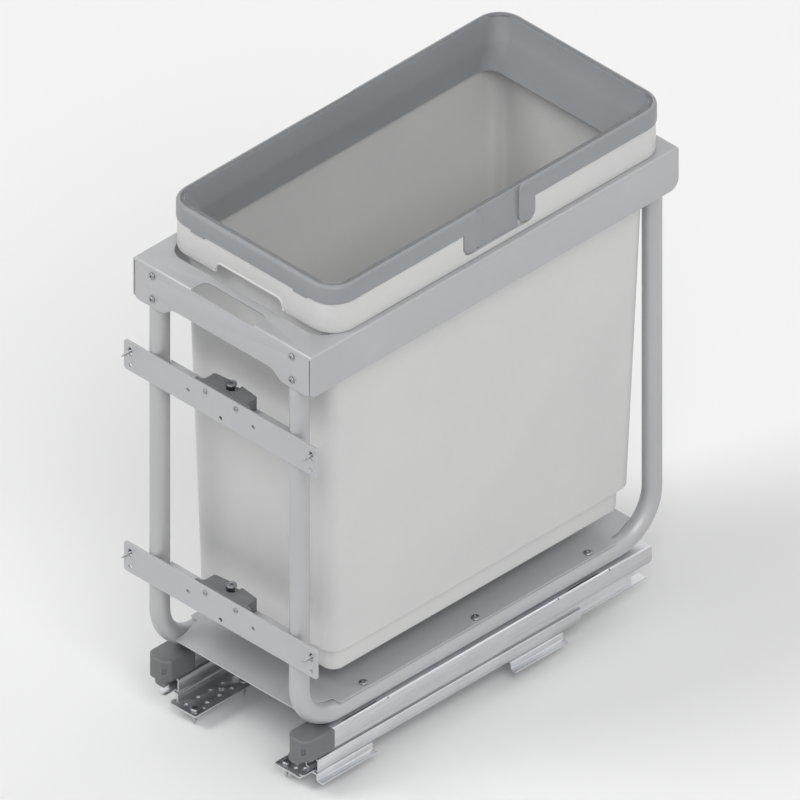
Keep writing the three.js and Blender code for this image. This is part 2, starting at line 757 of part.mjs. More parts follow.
/** The outline, in Y and Z, of the gap between two lobes. It widens in a curve to the ring's top. */
function lobeGap(middle, low, top) {
  const half = lobe_gap / 2;
  const r = lobe_upper_corner;
  const shape = new THREE.Shape();
  shape.moveTo(middle - half, low);
  shape.lineTo(middle - half, top - r);
  shape.absarc(middle - half - r, top - r, r, 0, Math.PI / 2, false);
  shape.lineTo(middle - half - r, top + 1);
  shape.lineTo(middle + half + r, top + 1);
  shape.lineTo(middle + half + r, top);
  shape.absarc(middle + half + r, top - r, r, Math.PI / 2, Math.PI, false);
  shape.lineTo(middle + half, low);
  return shape;
}

function bagRing() {
  const bottom = rim_top + seat_gap;
  const top = rim_top + ring_height;
  const band = (z, inset = 0) => skirtRing(z, inset - ring_proud);
  const edge = (z, inset = 0) => {
    const ring = band(z, ring_inner_inset + inset);
    return { ...ring, r: bin_corner + 1 - inset };
  };
  const funnel = (z, outward) => {
    const depth = Math.min(1, (top - z) / funnel_depth);
    const start = edge(z);
    const mouth = bin_half - 2 * bin_wall - ring_skin;
    const side_in = Math.max(funnel_side_inset * depth, start.half - mouth);
    return {
      half: start.half - side_in + outward,
      y0: start.y0 + funnel_end_inset * depth - outward,
      y1: start.y1 - funnel_end_inset * depth + outward,
      r: bin_corner + 1 + outward,
      z,
    };
  };
  const low = top - funnel_depth;
  const neck = bottom + neck_height;
  let part = loft([
    band(bottom), band(top - ring_edge), band(top - ring_edge * 0.3, ring_edge * 0.3), band(top, ring_edge),
    edge(top - 0.8, -0.8), edge(top - 2),
    funnel(neck, 0), funnel(low, 0), funnel(low, ring_skin), funnel(neck, ring_skin),
    edge(top - 2 - ring_skin, -ring_skin), band(top - 2 - ring_skin, ring_band_wall + 1.5),
    band(top - ring_edge - ring_skin, ring_band_wall), band(bottom, ring_band_wall),
  ], true);

  const middle = front + lobe_middle;
  const face = rim_width / 2 + ring_proud;
  const panel_back = rim_width / 2 - pocket_depth + seat_gap;
  const panel_bottom = collar_top + pocket_ledge + seat_gap;
  const lobe_bottom = bottom - lobe_depth;
  const lobe_top = top - ring_edge * 0.5;
  for (const side of [-1, 1]) {
    const span = (near, far) => [side * near, side * far].sort((a, b) => a - b);
    const gap = prismX(lobeGap(middle, bottom - 1, top), ...span(panel_back + ring_panel, face + 1));
    const panel = box(...span(panel_back, panel_back + ring_panel), middle - lobe_gap / 2 - 1,
      middle + lobe_gap / 2 + 1, panel_bottom, top - ring_edge);
    const link = box(...span(panel_back - ring_band_wall, panel_back + ring_panel), middle - lobe_gap / 2 - 1,
      middle + lobe_gap / 2 + 1, bottom, top - ring_edge);
    const crown = box(...span(panel_back, panel_back + ring_panel), middle - lobe_gap / 2 - lobe_upper_corner - 1,
      middle + lobe_gap / 2 + lobe_upper_corner + 1, top - lobe_upper_corner - 2, top - ring_edge);
    part = join(cut(part, gap), panel, link, crown);
    for (const way of [-1, 1]) {
      const near = middle + way * lobe_gap / 2;
      const far = near + way * lobe_width;
      const lobe = prismX(plate(Math.min(near, far), Math.max(near, far), lobe_bottom, lobe_top,
        [lobe_lower_corner, lobe_upper_corner]), ...span(panel_back, face));
      part = part.add(lobe);
    }
  }

  // snap tabs over the skirt at the front and at the rear
  for (const x of [-snap_outer, snap_inner]) {
    const width = snap_outer - snap_inner;
    part = join(
      part,
      box(x, x + width, front + rim_front - ring_proud, front + rim_front - seat_gap, bottom - snap_height, bottom + 1),
      box(x, x + width, front + rim_front + rim_length + seat_gap, front + rim_front + rim_length + ring_proud,
        bottom - snap_height, bottom + 1),
    );
  }
  return part;
}

place("bag_ring", geometryOf(bagRing()), ring_plastic);

// ---------------------------------------------------------------- runners

// Sections are drawn about the runner's own centre line, in X and Z.
const rail_base = bracket_height + seat_gap;
const drawer_rail_bottom = runner_top - drawer_rail_side;
const inner_half = runner_width / 2 - sheet; // clear half width inside the drawer rail
const cabinet_inner_half = cabinet_rail_width / 2 - sheet;
const roller_radius = roller_diameter / 2;
const damper_x = tube_x - damper_offset;
const lower_cage_middle = rail_base + sheet + seat_gap + roller_radius;
const middle_rail_bottom = lower_cage_middle + roller_radius + seat_gap;
const upper_cage_middle = runner_top - sheet - seat_gap - roller_radius;
const middle_rail_top = upper_cage_middle - roller_radius - seat_gap;

/** A section drawn about the runner's centre line, moved to the right-hand runner and run along it. */
const alongRunner = (shape, from, to) => prismY(shape, front + from, front + to).translate([tube_x, 0, 0]);

function drawerRail() {
  const half = runner_width / 2;
  const bottom = drawer_rail_bottom;
  const section = bentSheet([
    [half - sheet - rail_lip, bottom], [half, bottom], [half, runner_top],
    [-half, runner_top], [-half, bottom], [sheet + rail_lip - half, bottom],
  ], sheet, rail_bend);
  let part = alongRunner(section, drawer_rail_front, drawer_rail_rear);
  // two long slots beside the tube, and rounded rear ends of the sides
  const slot_outer = tube_x + half - rail_slot_inset;
  for (const [from, to] of rail_slots) {
    part = cut(part, prismZ(plate(slot_outer - rail_slot_width, slot_outer, front + from, front + to,
      rail_slot_width * 0.45), runner_top - sheet - 1, runner_top + 1, 2));
  }
  const corner = cornerWaste(front + drawer_rail_rear, bottom, drawer_rail_corner, -1, 1);
  part = cut(part, prismX(corner, tube_x - half - 1, tube_x + half + 1));
  // catch in front of the damper's rod, on an arm from the rail's inner side
  const catch_y = front + damper_front - damper_rod - seat_gap;
  const catch_low = damper_height - catch_height / 2;
  const arm_low = bottom + rail_bend;
  return join(
    part,
    box(damper_x - catch_height / 2, tube_x - half + sheet / 2, catch_y - catch_thickness, catch_y, arm_low,
      arm_low + catch_arm),
    box(damper_x - catch_height / 2, damper_x + catch_height / 2, catch_y - catch_thickness, catch_y, catch_low,
      arm_low + catch_arm),
  );
}

function middleRail() {
  const bottom_half = cabinet_inner_half - seat_gap;
  const top_half = inner_half - seat_gap;
  const body_half = bottom_half - middle_rail_flange;
  const [z0, z1] = [middle_rail_bottom, middle_rail_top];
  const section = outline([
    [-bottom_half, z0], [bottom_half, z0], [bottom_half, z0 + sheet], [body_half, z0 + sheet],
    [body_half, z1 - sheet], [top_half, z1 - sheet], [top_half, z1], [-top_half, z1],
    [-top_half, z1 - sheet], [-body_half, z1 - sheet], [-body_half, z0 + sheet], [-bottom_half, z0 + sheet],
  ]);
  const hollow_half = body_half - sheet;
  section.holes.push(plate(-hollow_half, hollow_half, z0 + 1.3 * sheet, z1 - 1.3 * sheet, 0.5));
  return alongRunner(section, middle_rail_front, middle_rail_rear);
}

function cabinetRail() {
  const half = cabinet_rail_width / 2;
  const top = rail_base + cabinet_rail_side;
  const lip = sheet + cabinet_rail_lip;
  const section = bentSheet([
    [lip - half, top], [-half, top], [-half, rail_base], [half, rail_base], [half, top], [half - lip, top],
  ], sheet, rail_bend);
  const tab = plate(tube_x - rail_tab_half, tube_x + rail_tab_half, front + rail_tab_front,
    front + cabinet_rail_front + 1, [rail_tab_half * 0.9, 0]);
  const part = alongRunner(section, cabinet_rail_front, cabinet_rail_rear)
    .add(prismZ(tab, rail_base, rail_base + sheet));
  // behind the sides only the floor of the rail goes on, with a long slot
  const tail_start = front + cabinet_rail_side_rear;
  const tail_end = front + cabinet_rail_rear + 1;
  const slot_start = tail_start + tail_slot_start;
  const slot_half = tail_slot_width / 2;
  return cut(
    part,
    box(tube_x - half - 1, tube_x + half + 1, tail_start, tail_end, rail_base + sheet, top + 1),
    box(tube_x + half - cabinet_rail_tail_cut, tube_x + half + 1, tail_start, tail_end, rail_base - 1, top + 1),
    prismZ(plate(tube_x - slot_half, tube_x + slot_half, slot_start, slot_start + tail_slot_length,
      slot_half * 0.95), rail_base - 1, top + 1),
  );
}

/** A plastic strip that keeps rollers in line; half_width is half the rollers' length. */
function rollerCage(start, height, half_width) {
  const strip_half = half_width - cage_margin;
  let part = box(tube_x - strip_half, tube_x + strip_half, front + start, front + start + cage_length,
    height - cage_thickness / 2, height + cage_thickness / 2);
  for (let i = 0; i < roller_count; i++) {
    const y = front + start + cage_length * (i + 0.5) / roller_count;
    part = part.add(prismX(disc(y, height, roller_radius), tube_x - half_width, tube_x + half_width, 4));
  }
  return part;
}

const bracketHole = (x, y) => rodZ(x, front + y, hole_diameter / 2, -1, bracket_sheet + 1);
const hole_columns = [bracket_inner_reach - hole_edge, bracket_inner_reach - hole_edge - hole_column_gap];

function bracket(start, hat_start, end) {
  const t = bracket_sheet;
  const section = bentSheet([
    [bracket_outer_reach, t], [hat_half, t], [hat_half, bracket_height],
    [-hat_half, bracket_height], [-hat_half, t], [-bracket_inner_reach, t],
  ], t, t + 0.8);
  let part = alongRunner(section, start, end);
  if (hat_start > start) {
    part = cut(part, box(tube_x - hat_half - t - 1, tube_x + bracket_outer_reach + 1, front + start - 1,
      front + hat_start, -1, bracket_height + 1));
    part = part.add(prismZ(plate(tube_x - hat_half - 2 * t, tube_x - bracket_tab, front + start, front + hat_start,
      [0, bracket_small_corner]), 0, t));
    const corner = cornerWaste(tube_x - bracket_tab, front + start, bracket_small_corner, -1, 1);
    part = cut(part, prismZ(corner, -1, t + 1));
  }
  for (const y of [start, end]) {
    const way = y === start ? 1 : -1;
    const inner = cornerWaste(tube_x - bracket_inner_reach, front + y, bracket_small_corner, 1, way);
    part = cut(part, prismZ(inner, -1, t + 1));
  }
  const rows = Math.floor((end - start - hole_start) / hole_pitch) + 1;
  for (let row = 0; row < rows; row++) {
    for (const column of hole_columns) {
      part = cut(part, bracketHole(tube_x - column, start + hole_start + row * hole_pitch));
    }
  }
  return part;
}

function damper() {
  const start = front + damper_front;
  const radius = damper_diameter / 2;
  const rod = damper_rod_diameter / 2;
  const body = turned([
    [0, -damper_rod], [rod, -damper_rod], [rod, 0], [radius - damper_edge, 0], [radius, damper_edge],
    [radius, damper_length - damper_edge], [radius - damper_edge, damper_length], [0, damper_length],
  ], 12);
  // the turned piece lies along +Z and is laid down along +Y
  const geometry = geometryOf(body);
  geometry.rotateX(-Math.PI / 2);
  geometry.translate(damper_x, start, damper_height);
  // the holder reaches under the cylinder and stands on the tail of the cabinet rail
  const foot_low = rail_base + sheet + seat_gap;
  const foot_y = [start + damper_foot_front, start + damper_length - damper_foot_rear];
  const foot_x = damper_x - damper_foot_width / 2;
  return join(
    solid(geometry),
    box(foot_x, foot_x + damper_foot_width, ...foot_y, foot_low, damper_height),
    box(foot_x, tube_x - cabinet_rail_width / 2 + damper_foot_reach, ...foot_y, foot_low,
      foot_low + damper_foot_thickness),
  );
}

function endCap() {
  const half = cap_width / 2;
  const top = runner_top + seat_gap + cap_top_wall;
  const bottom = drawer_rail_bottom - cap_drop;
  const small = cap_edge / 3;
  const side = outline([
    [cap_front, bottom + small], [cap_front + small, bottom], [cap_rear - cap_notch, bottom],
    [cap_rear - small, bottom + cap_notch_height], [cap_rear, bottom + cap_notch_height + small],
    [cap_rear, top - small], [cap_rear - small, top], [cap_front + cap_edge, top],
    [cap_front + small, top - small], [cap_front, top - cap_edge],
  ].map(([y, z]) => [front + y, z]));
  const plan = plate(tube_x - half, tube_x + half, front + cap_front, front + cap_rear, [cap_corner, 1]);
  const crown = plate(tube_x - half, tube_x + half, bottom - 1, top, [0, cap_edge]);
  const block = prismX(side, tube_x - half - 1, tube_x + half + 1)
    .intersect(prismZ(plan, bottom - 1, top + 1))
    .intersect(prismY(crown, front + cap_front - 1, front + cap_rear + 1, 3));
  const rail_half = runner_width / 2 + seat_gap;
  const hollow = prismY(plate(tube_x - rail_half, tube_x + rail_half, bottom - 1, runner_top + seat_gap,
    [0, rail_bend]), front + drawer_rail_front - seat_gap, front + cap_rear + 1, 3);
  // a floor below the rail's front end, and a tongue that hangs from it
  const floor_top = drawer_rail_bottom - seat_gap;
  const wall_x = half - cap_side_wall;
  const tongue_front_y = front + cap_front + cap_edge / 2;
  let part = join(
    cut(block, hollow),
    box(tube_x - wall_x, tube_x + wall_x, front + cap_front + cap_wall, front + cabinet_rail_front - cap_wall,
      bottom, floor_top),
    prismY(plate(tube_x - wall_x, tube_x - wall_x + cap_tongue_width, bottom - cap_tongue, floor_top, [4, 0]),
      tongue_front_y, tongue_front_y + cap_tongue_back, 3),
  );
  // a square window in both rounded front corners
  const chamfer = cap_corner * (1 - Math.SQRT1_2);
  for (const way of [-1, 1]) {
    const window = new THREE.BoxGeometry(cap_window, cap_window_depth, cap_window);
    window.rotateZ(way * Math.PI / 4);
    window.translate(tube_x + way * (half - chamfer), front + cap_front + chamfer, (top + bottom) / 2);
    part = part.subtract(solid(window));
  }
  return part;
}

placePair("drawer_rail", drawerRail(), zinc);
placePair("middle_rail", middleRail(), zinc);
placePair("cabinet_rail", cabinetRail(), zinc);
placePair("lower_cage", rollerCage(lower_cage_front, lower_cage_middle, cabinet_inner_half - seat_gap), roller_plastic);
placePair("upper_cage", rollerCage(upper_cage_front, upper_cage_middle, inner_half - seat_gap), roller_plastic);
placePair("front_bracket", bracket(front_bracket_start, front_bracket_hat_start, front_bracket_end), zinc);
placePair("rear_bracket", bracket(rear_bracket_start, rear_bracket_start, rear_bracket_end), zinc);
placePair("damper", damper(), cap_plastic);
placePair("end_cap", endCap(), cap_plastic);

// ---------------------------------------------------------------- door strips, adjusters and crossbars

const strip_back = front - strip_proud + strip_thickness;
const housing_front = strip_back + seat_gap;
const crossbar_y1 = front + crossbar_back;
const crossbar_y0 = crossbar_y1 - crossbar_thickness;
const cam_y = front + cam_back;

function doorStrip(bottom) {
  const middle = bottom + strip_height / 2;
  const y = [strip_back - strip_thickness - 1, strip_back + 1];
  let part = prismY(plate(-strip_length / 2, strip_length / 2, bottom, bottom + strip_height, strip_corner),
    strip_back - strip_thickness, strip_back, 3);
  const hole = strip_hole_diameter / 2;
  for (const side of [-1, 1]) {
    const slot_z = middle + strip_slot_up;
    part = cut(
      part,
      rodY(side * strip_screw_x, middle + strip_screw_up, strip_screw.shank / 2 + screw_clearance, ...y),
      rodY(side * strip_hole_x, middle, hole, ...y),
      rodY(side * strip_end_x, middle - strip_hole_down, hole, ...y),
      prismY(plate(side * strip_end_x - hole, side * strip_end_x + hole, slot_z - strip_slot_length / 2,
        slot_z + strip_slot_length / 2, hole - 0.05), ...y),
    );
  }
  return cut(part, rodY(0, middle - strip_low_hole_down, hole, ...y));
}

const crossbarTop = (bottom) => bottom + strip_height - housing_top_wall - cam_pin_entry;

function adjusterHousing(bottom) {
  const top = bottom + strip_height;
  const back = front + housing_back;
  const flange_back = housing_front + housing_flange_thickness;
  const flange = prismY(plate(-housing_flange_half, housing_flange_half, bottom - housing_flange_proud,
    top + housing_flange_proud, housing_flange_corner), housing_front, flange_back, 2);
  const plan = new THREE.Shape();
  plan.moveTo(-housing_half - housing_corner, housing_front + 1);
  plan.lineTo(housing_half + housing_corner, housing_front + 1);
  plan.lineTo(housing_half + housing_corner, flange_back);
  plan.quadraticCurveTo(housing_half, flange_back, housing_half, flange_back + housing_corner);
  plan.lineTo(housing_half, back - housing_rear_corner);
  plan.lineTo(housing_half - housing_rear_corner, back);
  plan.lineTo(0, back + housing_bulge);
  plan.lineTo(housing_rear_corner - housing_half, back);
  plan.lineTo(-housing_half, back - housing_rear_corner);
  plan.lineTo(-housing_half, flange_back + housing_corner);
  plan.quadraticCurveTo(-housing_half, flange_back, -housing_half - housing_corner, flange_back);
  const crossbar_top = crossbarTop(bottom);
  const tunnel_half = housing_half + housing_corner + 1;
  let part = cut(
    join(flange, prismZ(plan, bottom + housing_bottom_inset, top)),
    box(-tunnel_half, tunnel_half, crossbar_y0 - seat_gap, crossbar_y1 + seat_gap,
      crossbar_top - crossbar_height - seat_gap, crossbar_top + seat_gap),
    prismZ(disc(0, cam_y, cam_shank_diameter / 2 + seat_gap), crossbar_top, top + 1, 8),
    // a well for the cam screw, open at the rear
    prismZ(plate(-cam_well_half, cam_well_half, cam_y - cam_well_half, back + housing_bulge + 1,
      [cam_well_half * 0.98, 0]), top - cam_well_depth, top + 1, 8),
  );
  for (const side of [-1, 1]) {
    part = cut(part, rodY(side * strip_screw_x, bottom + strip_height / 2 + strip_screw_up,
      strip_screw.shank / 2 + screw_clearance, housing_front - 1, crossbar_y0 - 1));
  }
  return part;
}

function crossbar(bottom) {
  const top = crossbarTop(bottom);
  const slot_half = cam_pin_diameter / 2 + pin_clearance;
  let part = cut(
    box(-tube_x, tube_x, crossbar_y0, crossbar_y1, top - crossbar_height, top),
    prismZ(plate(-slot_half, slot_half, cam_y + cam_offset / 2 - slot_half, cam_y + cam_offset + slot_half,
      slot_half * 0.95),
      top - cam_slot_depth, top + 1),
  );
  // ends coped to the tubes
  const cope_arc = 12;
  const cope_radius = (tube_radius + seat_gap) / Math.cos(Math.PI / cope_arc / 2);
  for (const side of [-1, 1]) {
    part = cut(part, prismZ(disc(side * tube_x, front + tube_inset, cope_radius), top - crossbar_height - 1, top + 1,
      cope_arc));
  }
  return part.intersect(box(crossbar_end - tube_x, tube_x - crossbar_end, crossbar_y0 - 1, crossbar_y1 + 1,
    top - crossbar_height, top));
}

/** The cam screw about its own axis, with its washer on the plane Z = 0. */
function camScrew() {
  const reach = housing_top_wall + cam_pin_entry - cam_well_depth;
  const shank = cam_shank_diameter / 2;
  const washer = cam_washer_diameter / 2;
  const head = cam_head_diameter / 2;
  const top = cam_head_rise + cam_head_height;
  const body = turned([
    [0, -reach], [shank, -reach], [shank, 0], [washer, 0], [washer, cam_washer_height],
    [shank, cam_washer_height], [shank, cam_head_rise], [head, cam_head_rise], [head, top - cam_head_edge],
    [head - cam_head_edge, top], [0, top],
  ], 16);
  const pin = rodZ(0, cam_offset, cam_pin_diameter / 2, -reach - cam_pin_length + seat_gap, seat_gap - reach);
  const [arm, blade] = [cam_recess_half, cam_recess_width / 2];
  const floor = top - cam_recess_depth;
  return cut(join(body, pin), box(-arm, arm, -blade, blade, floor, top + 1),
    box(-blade, blade, -arm, arm, floor, top + 1));
}

const strips = [["upper", upper_strip_bottom], ["lower", lower_strip_bottom]];
const cam_screw = geometryOf(camScrew());
const forward = [Math.PI / 2, 0, 0]; // a screw turned so that its head looks to the front
const backward = [-Math.PI / 2, 0, 0];
const strip_screw_shape = geometryOf(screw(strip_screw, "cross"));
const door_screw_shape = geometryOf(screw(door_screw, "cross"));

for (const [level, bottom] of strips) {
  place(`${level}_door_strip`, geometryOf(doorStrip(bottom)), coated_steel);
  place(`${level}_adjuster_housing`, geometryOf(adjusterHousing(bottom)), cap_plastic);
  place(`${level}_crossbar`, geometryOf(crossbar(bottom)), coated_steel);
  place(`${level}_cam_screw`, cam_screw.clone(), screw_steel, [0, cam_y, bottom + strip_height - cam_well_depth + seat_gap]);
  for (const [hand, side] of [["left", -1], ["right", 1]]) {
    const middle = bottom + strip_height / 2;
    place(`${level}_${hand}_strip_screw`, strip_screw_shape.clone(), screw_steel,
      [side * strip_screw_x, strip_back - strip_thickness - seat_gap, middle + strip_screw_up], forward);
    place(`${level}_${hand}_door_screw`, door_screw_shape.clone(), screw_steel,
      [side * strip_end_x, strip_back + seat_gap, middle + strip_slot_up], backward);
  }
}

// ---------------------------------------------------------------- screws of the frame and of the runners

const small_screw_shape = geometryOf(screw(small_screw, "hex"));
const plate_screw_shape = geometryOf(screw(plate_screw, "hex"));
const wood_screw_shape = geometryOf(screw(wood_screw, "cross"));

for (const [hand, side] of [["left", -1], ["right", 1]]) {
  for (const [row, level] of [[screw_rows[0], "upper"], [screw_rows[1], "lower"]]) {
    place(`front_${hand}_${level}_collar_screw`, small_screw_shape.clone(), screw_steel,
      [side * tube_x, front - seat_gap, collar_top - row], forward);
    place(`rear_${hand}_${level}_collar_screw`, small_screw_shape.clone(), screw_steel,
      [side * tube_x, front + collar_depth + seat_gap, collar_top - row], backward);
  }
  plate_screw_rows.forEach((row, i) => {
    place(`${hand}_plate_screw_${i + 1}`, plate_screw_shape.clone(), screw_steel,
      [side * tube_x, front + row, plate_bottom + sheet + seat_gap]);
  });
  const wood_x = side * (tube_x - hole_columns[0]);
  const wood_rows = [
    ["front", front_bracket_start + hole_start],
    ["middle", front_bracket_start + hole_start + 4 * hole_pitch],
    ["rear", rear_bracket_start + hole_start + 2 * hole_pitch],
  ];
  for (const [spot, y] of wood_rows) {
    place(`${hand}_${spot}_floor_screw`, wood_screw_shape.clone(), screw_steel,
      [wood_x, front + y, bracket_sheet + seat_gap]);
  }
}

export default unit;
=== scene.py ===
"""A pull-out waste bin unit: bent tubes on telescopic runners, a sheet-metal collar, a bin and a bag ring.

Sizes are written in millimetres and turned into metres by mm(). The door side is at -Y, and +Z is up.
"""
import json
import math

import bmesh
import bpy
from mathutils import Matrix, Vector

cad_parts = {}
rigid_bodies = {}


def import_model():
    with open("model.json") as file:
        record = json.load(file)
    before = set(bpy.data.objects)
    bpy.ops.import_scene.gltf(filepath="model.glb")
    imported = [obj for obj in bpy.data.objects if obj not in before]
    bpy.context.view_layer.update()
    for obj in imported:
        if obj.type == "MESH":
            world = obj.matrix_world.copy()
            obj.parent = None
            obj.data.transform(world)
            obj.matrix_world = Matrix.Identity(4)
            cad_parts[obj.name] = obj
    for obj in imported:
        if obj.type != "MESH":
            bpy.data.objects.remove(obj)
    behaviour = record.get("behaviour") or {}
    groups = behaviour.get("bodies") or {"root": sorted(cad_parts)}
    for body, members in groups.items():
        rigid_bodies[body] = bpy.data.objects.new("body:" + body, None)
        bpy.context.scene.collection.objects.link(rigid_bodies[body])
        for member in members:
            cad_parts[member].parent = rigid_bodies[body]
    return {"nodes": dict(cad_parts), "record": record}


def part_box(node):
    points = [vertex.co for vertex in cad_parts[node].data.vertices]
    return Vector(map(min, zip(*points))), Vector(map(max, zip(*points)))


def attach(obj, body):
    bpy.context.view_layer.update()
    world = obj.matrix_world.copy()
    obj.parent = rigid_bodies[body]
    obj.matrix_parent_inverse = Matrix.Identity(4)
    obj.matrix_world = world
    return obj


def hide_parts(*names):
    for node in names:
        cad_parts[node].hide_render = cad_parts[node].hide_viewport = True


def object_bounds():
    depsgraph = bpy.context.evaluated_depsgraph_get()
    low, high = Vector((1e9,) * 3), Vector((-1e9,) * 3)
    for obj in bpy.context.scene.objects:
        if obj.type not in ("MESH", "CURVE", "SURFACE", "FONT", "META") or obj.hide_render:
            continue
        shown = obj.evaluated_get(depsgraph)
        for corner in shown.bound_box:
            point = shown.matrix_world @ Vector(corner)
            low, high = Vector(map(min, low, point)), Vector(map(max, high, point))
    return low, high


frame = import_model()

cad_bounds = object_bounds()
nodes = frame["nodes"]
body_of_node = {
    node: body for body, members in frame["record"]["behaviour"]["bodies"].items() for node in members
}
slot_of_node = {entry["node"]: entry["material_slot"] for entry in frame["record"]["subparts"]}


def mm(value):
    return value * 0.001


# ------------------------------------------------------------------ sizes in millimetres

FRONT = -274.0  # the collar's front face
TUBE_X = 104.0
TUBE_RADIUS = 11.0
TUBE_WALL = 1.5
TUBE_BEND = 54.5
TUBE_RUN_Z = 70.7
TUBE_TOP = 567.2
TUBE_LEG_Y = (-262.7, 262.7)
TUBE_PRESSED = 9.5  # outer half of the section behind the collar's flange
PRESS_HIGH, PRESS_LOW = 515.5, 507.5

COLLAR_TOP = 569.0
RIM_WIDTH = 250.4
RIM_FRONT = 40.5
RIM_LENGTH = 498.4
RIM_TOP = COLLAR_TOP + 37.5
RIM_CORNER = 30.0
BIN_HALF = RIM_WIDTH / 2 - 10.7
BIN_FRONT = RIM_FRONT + 10.7
BIN_BACK = RIM_FRONT + RIM_LENGTH - 12.6
BIN_DRAFT = 0.0235
BIN_REAR_DRAFT = 0.036
BIN_CORNER = 18.0
BIN_BOTTOM = 107.0
BIN_STEP = BIN_BOTTOM + 32.0
BIN_WALL = 2.0
SEAT_GAP = 0.3

STRIP_FRONT = FRONT - 2.4
STRIP_THICKNESS = 2.5
STRIP_HEIGHT = 37.5
STRIP_BOTTOMS = {"upper": 421.0, "lower": 161.0}
CAM_Y = FRONT + 14.2
CAM_WELL_DEPTH = 5.0


# ------------------------------------------------------------------ finishes

def node_group(name, inputs, outputs):
    """An empty shader node group. inputs are (name, kind, default), outputs are (name, kind)."""
    group = bpy.data.node_groups.new(name, "ShaderNodeTree")
    for label, kind, default in inputs:
        socket = group.interface.new_socket(label, in_out="INPUT", socket_type=kind)
        socket.default_value = default
    for label, kind in outputs:
        group.interface.new_socket(label, in_out="OUTPUT", socket_type=kind)
    return group, group.nodes.new("NodeGroupInput"), group.nodes.new("NodeGroupOutput")


def linked(tree, kind, settings=None, **inputs):
    """A new node whose sockets are set to values or linked from other sockets.

    A socket goes by its name, with _ for a space, or by its place as i0, i1 and so on.
    """
    node = tree.nodes.new(kind)
    for name, value in (settings or {}).items():
        setattr(node, name, value)
    for name, value in inputs.items():
        by_place = name[0] == "i" and name[1:].isdigit()
        socket = node.inputs[int(name[1:]) if by_place else name.replace("_", " ")]
        if isinstance(value, bpy.types.NodeSocket):
            tree.links.new(value, socket)
        else:
            socket.default_value = value
    return node


def worked_out(tree, operation, *values, clamp=False):
    """The result of a math node on values or sockets."""
    places = {f"i{place}": value for place, value in enumerate(values)}
    return linked(tree, "ShaderNodeMath", {"operation": operation, "use_clamp": clamp}, **places).outputs[0]


def object_place(group):
    return group.nodes.new("ShaderNodeTexCoord").outputs["Object"]


def make_cloudy_tone():
    """Slow, soft changes of tone over a surface, and a finer mottle over them."""
    group, inside, outside = node_group(
        "cloudy_tone",
        [("Size", "NodeSocketFloat", 12.0), ("Contrast", "NodeSocketFloat", 0.5)],
        [("Factor", "NodeSocketFloat")],
    )
    where = object_place(group)
    size = inside.outputs["Size"]
    broad = linked(group, "ShaderNodeTexNoise", Vector=where, Scale=size, Detail=3.0, Roughness=0.5)
    finer = worked_out(group, "MULTIPLY", size, 9.0)
    mottle = linked(group, "ShaderNodeTexNoise", Vector=where, Scale=finer, Detail=2.0, Roughness=0.6)
    both = worked_out(group, "MULTIPLY_ADD", mottle.outputs["Fac"], 0.35, broad.outputs["Fac"])
    level = worked_out(group, "SUBTRACT", both, 0.675)
    spread = worked_out(group, "MULTIPLY", level, inside.outputs["Contrast"])
    result = worked_out(group, "ADD", spread, 0.5, clamp=True)
    group.links.new(result, outside.inputs["Factor"])
    return group


def make_fine_grain():
    """The pebbled surface of a powder coat or of moulded plastic, as a height."""
    group, inside, outside = node_group(
        "fine_grain",
        [("Grain Scale", "NodeSocketFloat", 900.0), ("Softness", "NodeSocketFloat", 0.5)],
        [("Height", "NodeSocketFloat")],
    )
    where = object_place(group)
    grain = inside.outputs["Grain Scale"]
    pebbles = linked(group, "ShaderNodeTexVoronoi", {"feature": "SMOOTH_F1"}, Vector=where, Scale=grain,
                     Smoothness=inside.outputs["Softness"])
    slower = worked_out(group, "MULTIPLY", grain, 0.3)
    swell = linked(group, "ShaderNodeTexNoise", Vector=where, Scale=slower, Detail=2.0)
    both = worked_out(group, "MULTIPLY_ADD", swell.outputs["Fac"], 0.6, pebbles.outputs["Distance"])
    group.links.new(both, outside.inputs["Height"])
    return group


def make_drawn_lines():
    """Fine lines along one direction, left by rolling or drawing. Stretch is small along the lines."""
    group, inside, outside = node_group(
        "drawn_lines",
        [("Stretch", "NodeSocketVector", (1.0, 0.02, 1.0)), ("Line Scale", "NodeSocketFloat", 1500.0)],
        [("Height", "NodeSocketFloat"), ("Factor", "NodeSocketFloat")],
    )
    where = object_place(group)
    scale = inside.outputs["Line Scale"]
    stretched = linked(group, "ShaderNodeVectorMath", {"operation": "MULTIPLY"}, i0=where,
                       i1=inside.outputs["Stretch"])
    along = stretched.outputs[0]
    lines = linked(group, "ShaderNodeTexNoise", Vector=along, Scale=scale, Detail=3.0, Roughness=0.65)
    coarser = worked_out(group, "MULTIPLY", scale, 0.18)
    bands = linked(group, "ShaderNodeTexNoise", Vector=along, Scale=coarser, Detail=2.0)
    sharpen = linked(group, "ShaderNodeMapRange", Value=bands.outputs["Fac"], From_Min=0.35, From_Max=0.65)
    group.links.new(lines.outputs["Fac"], outside.inputs["Height"])
    group.links.new(sharpen.outputs[0], outside.inputs["Factor"])
    return group


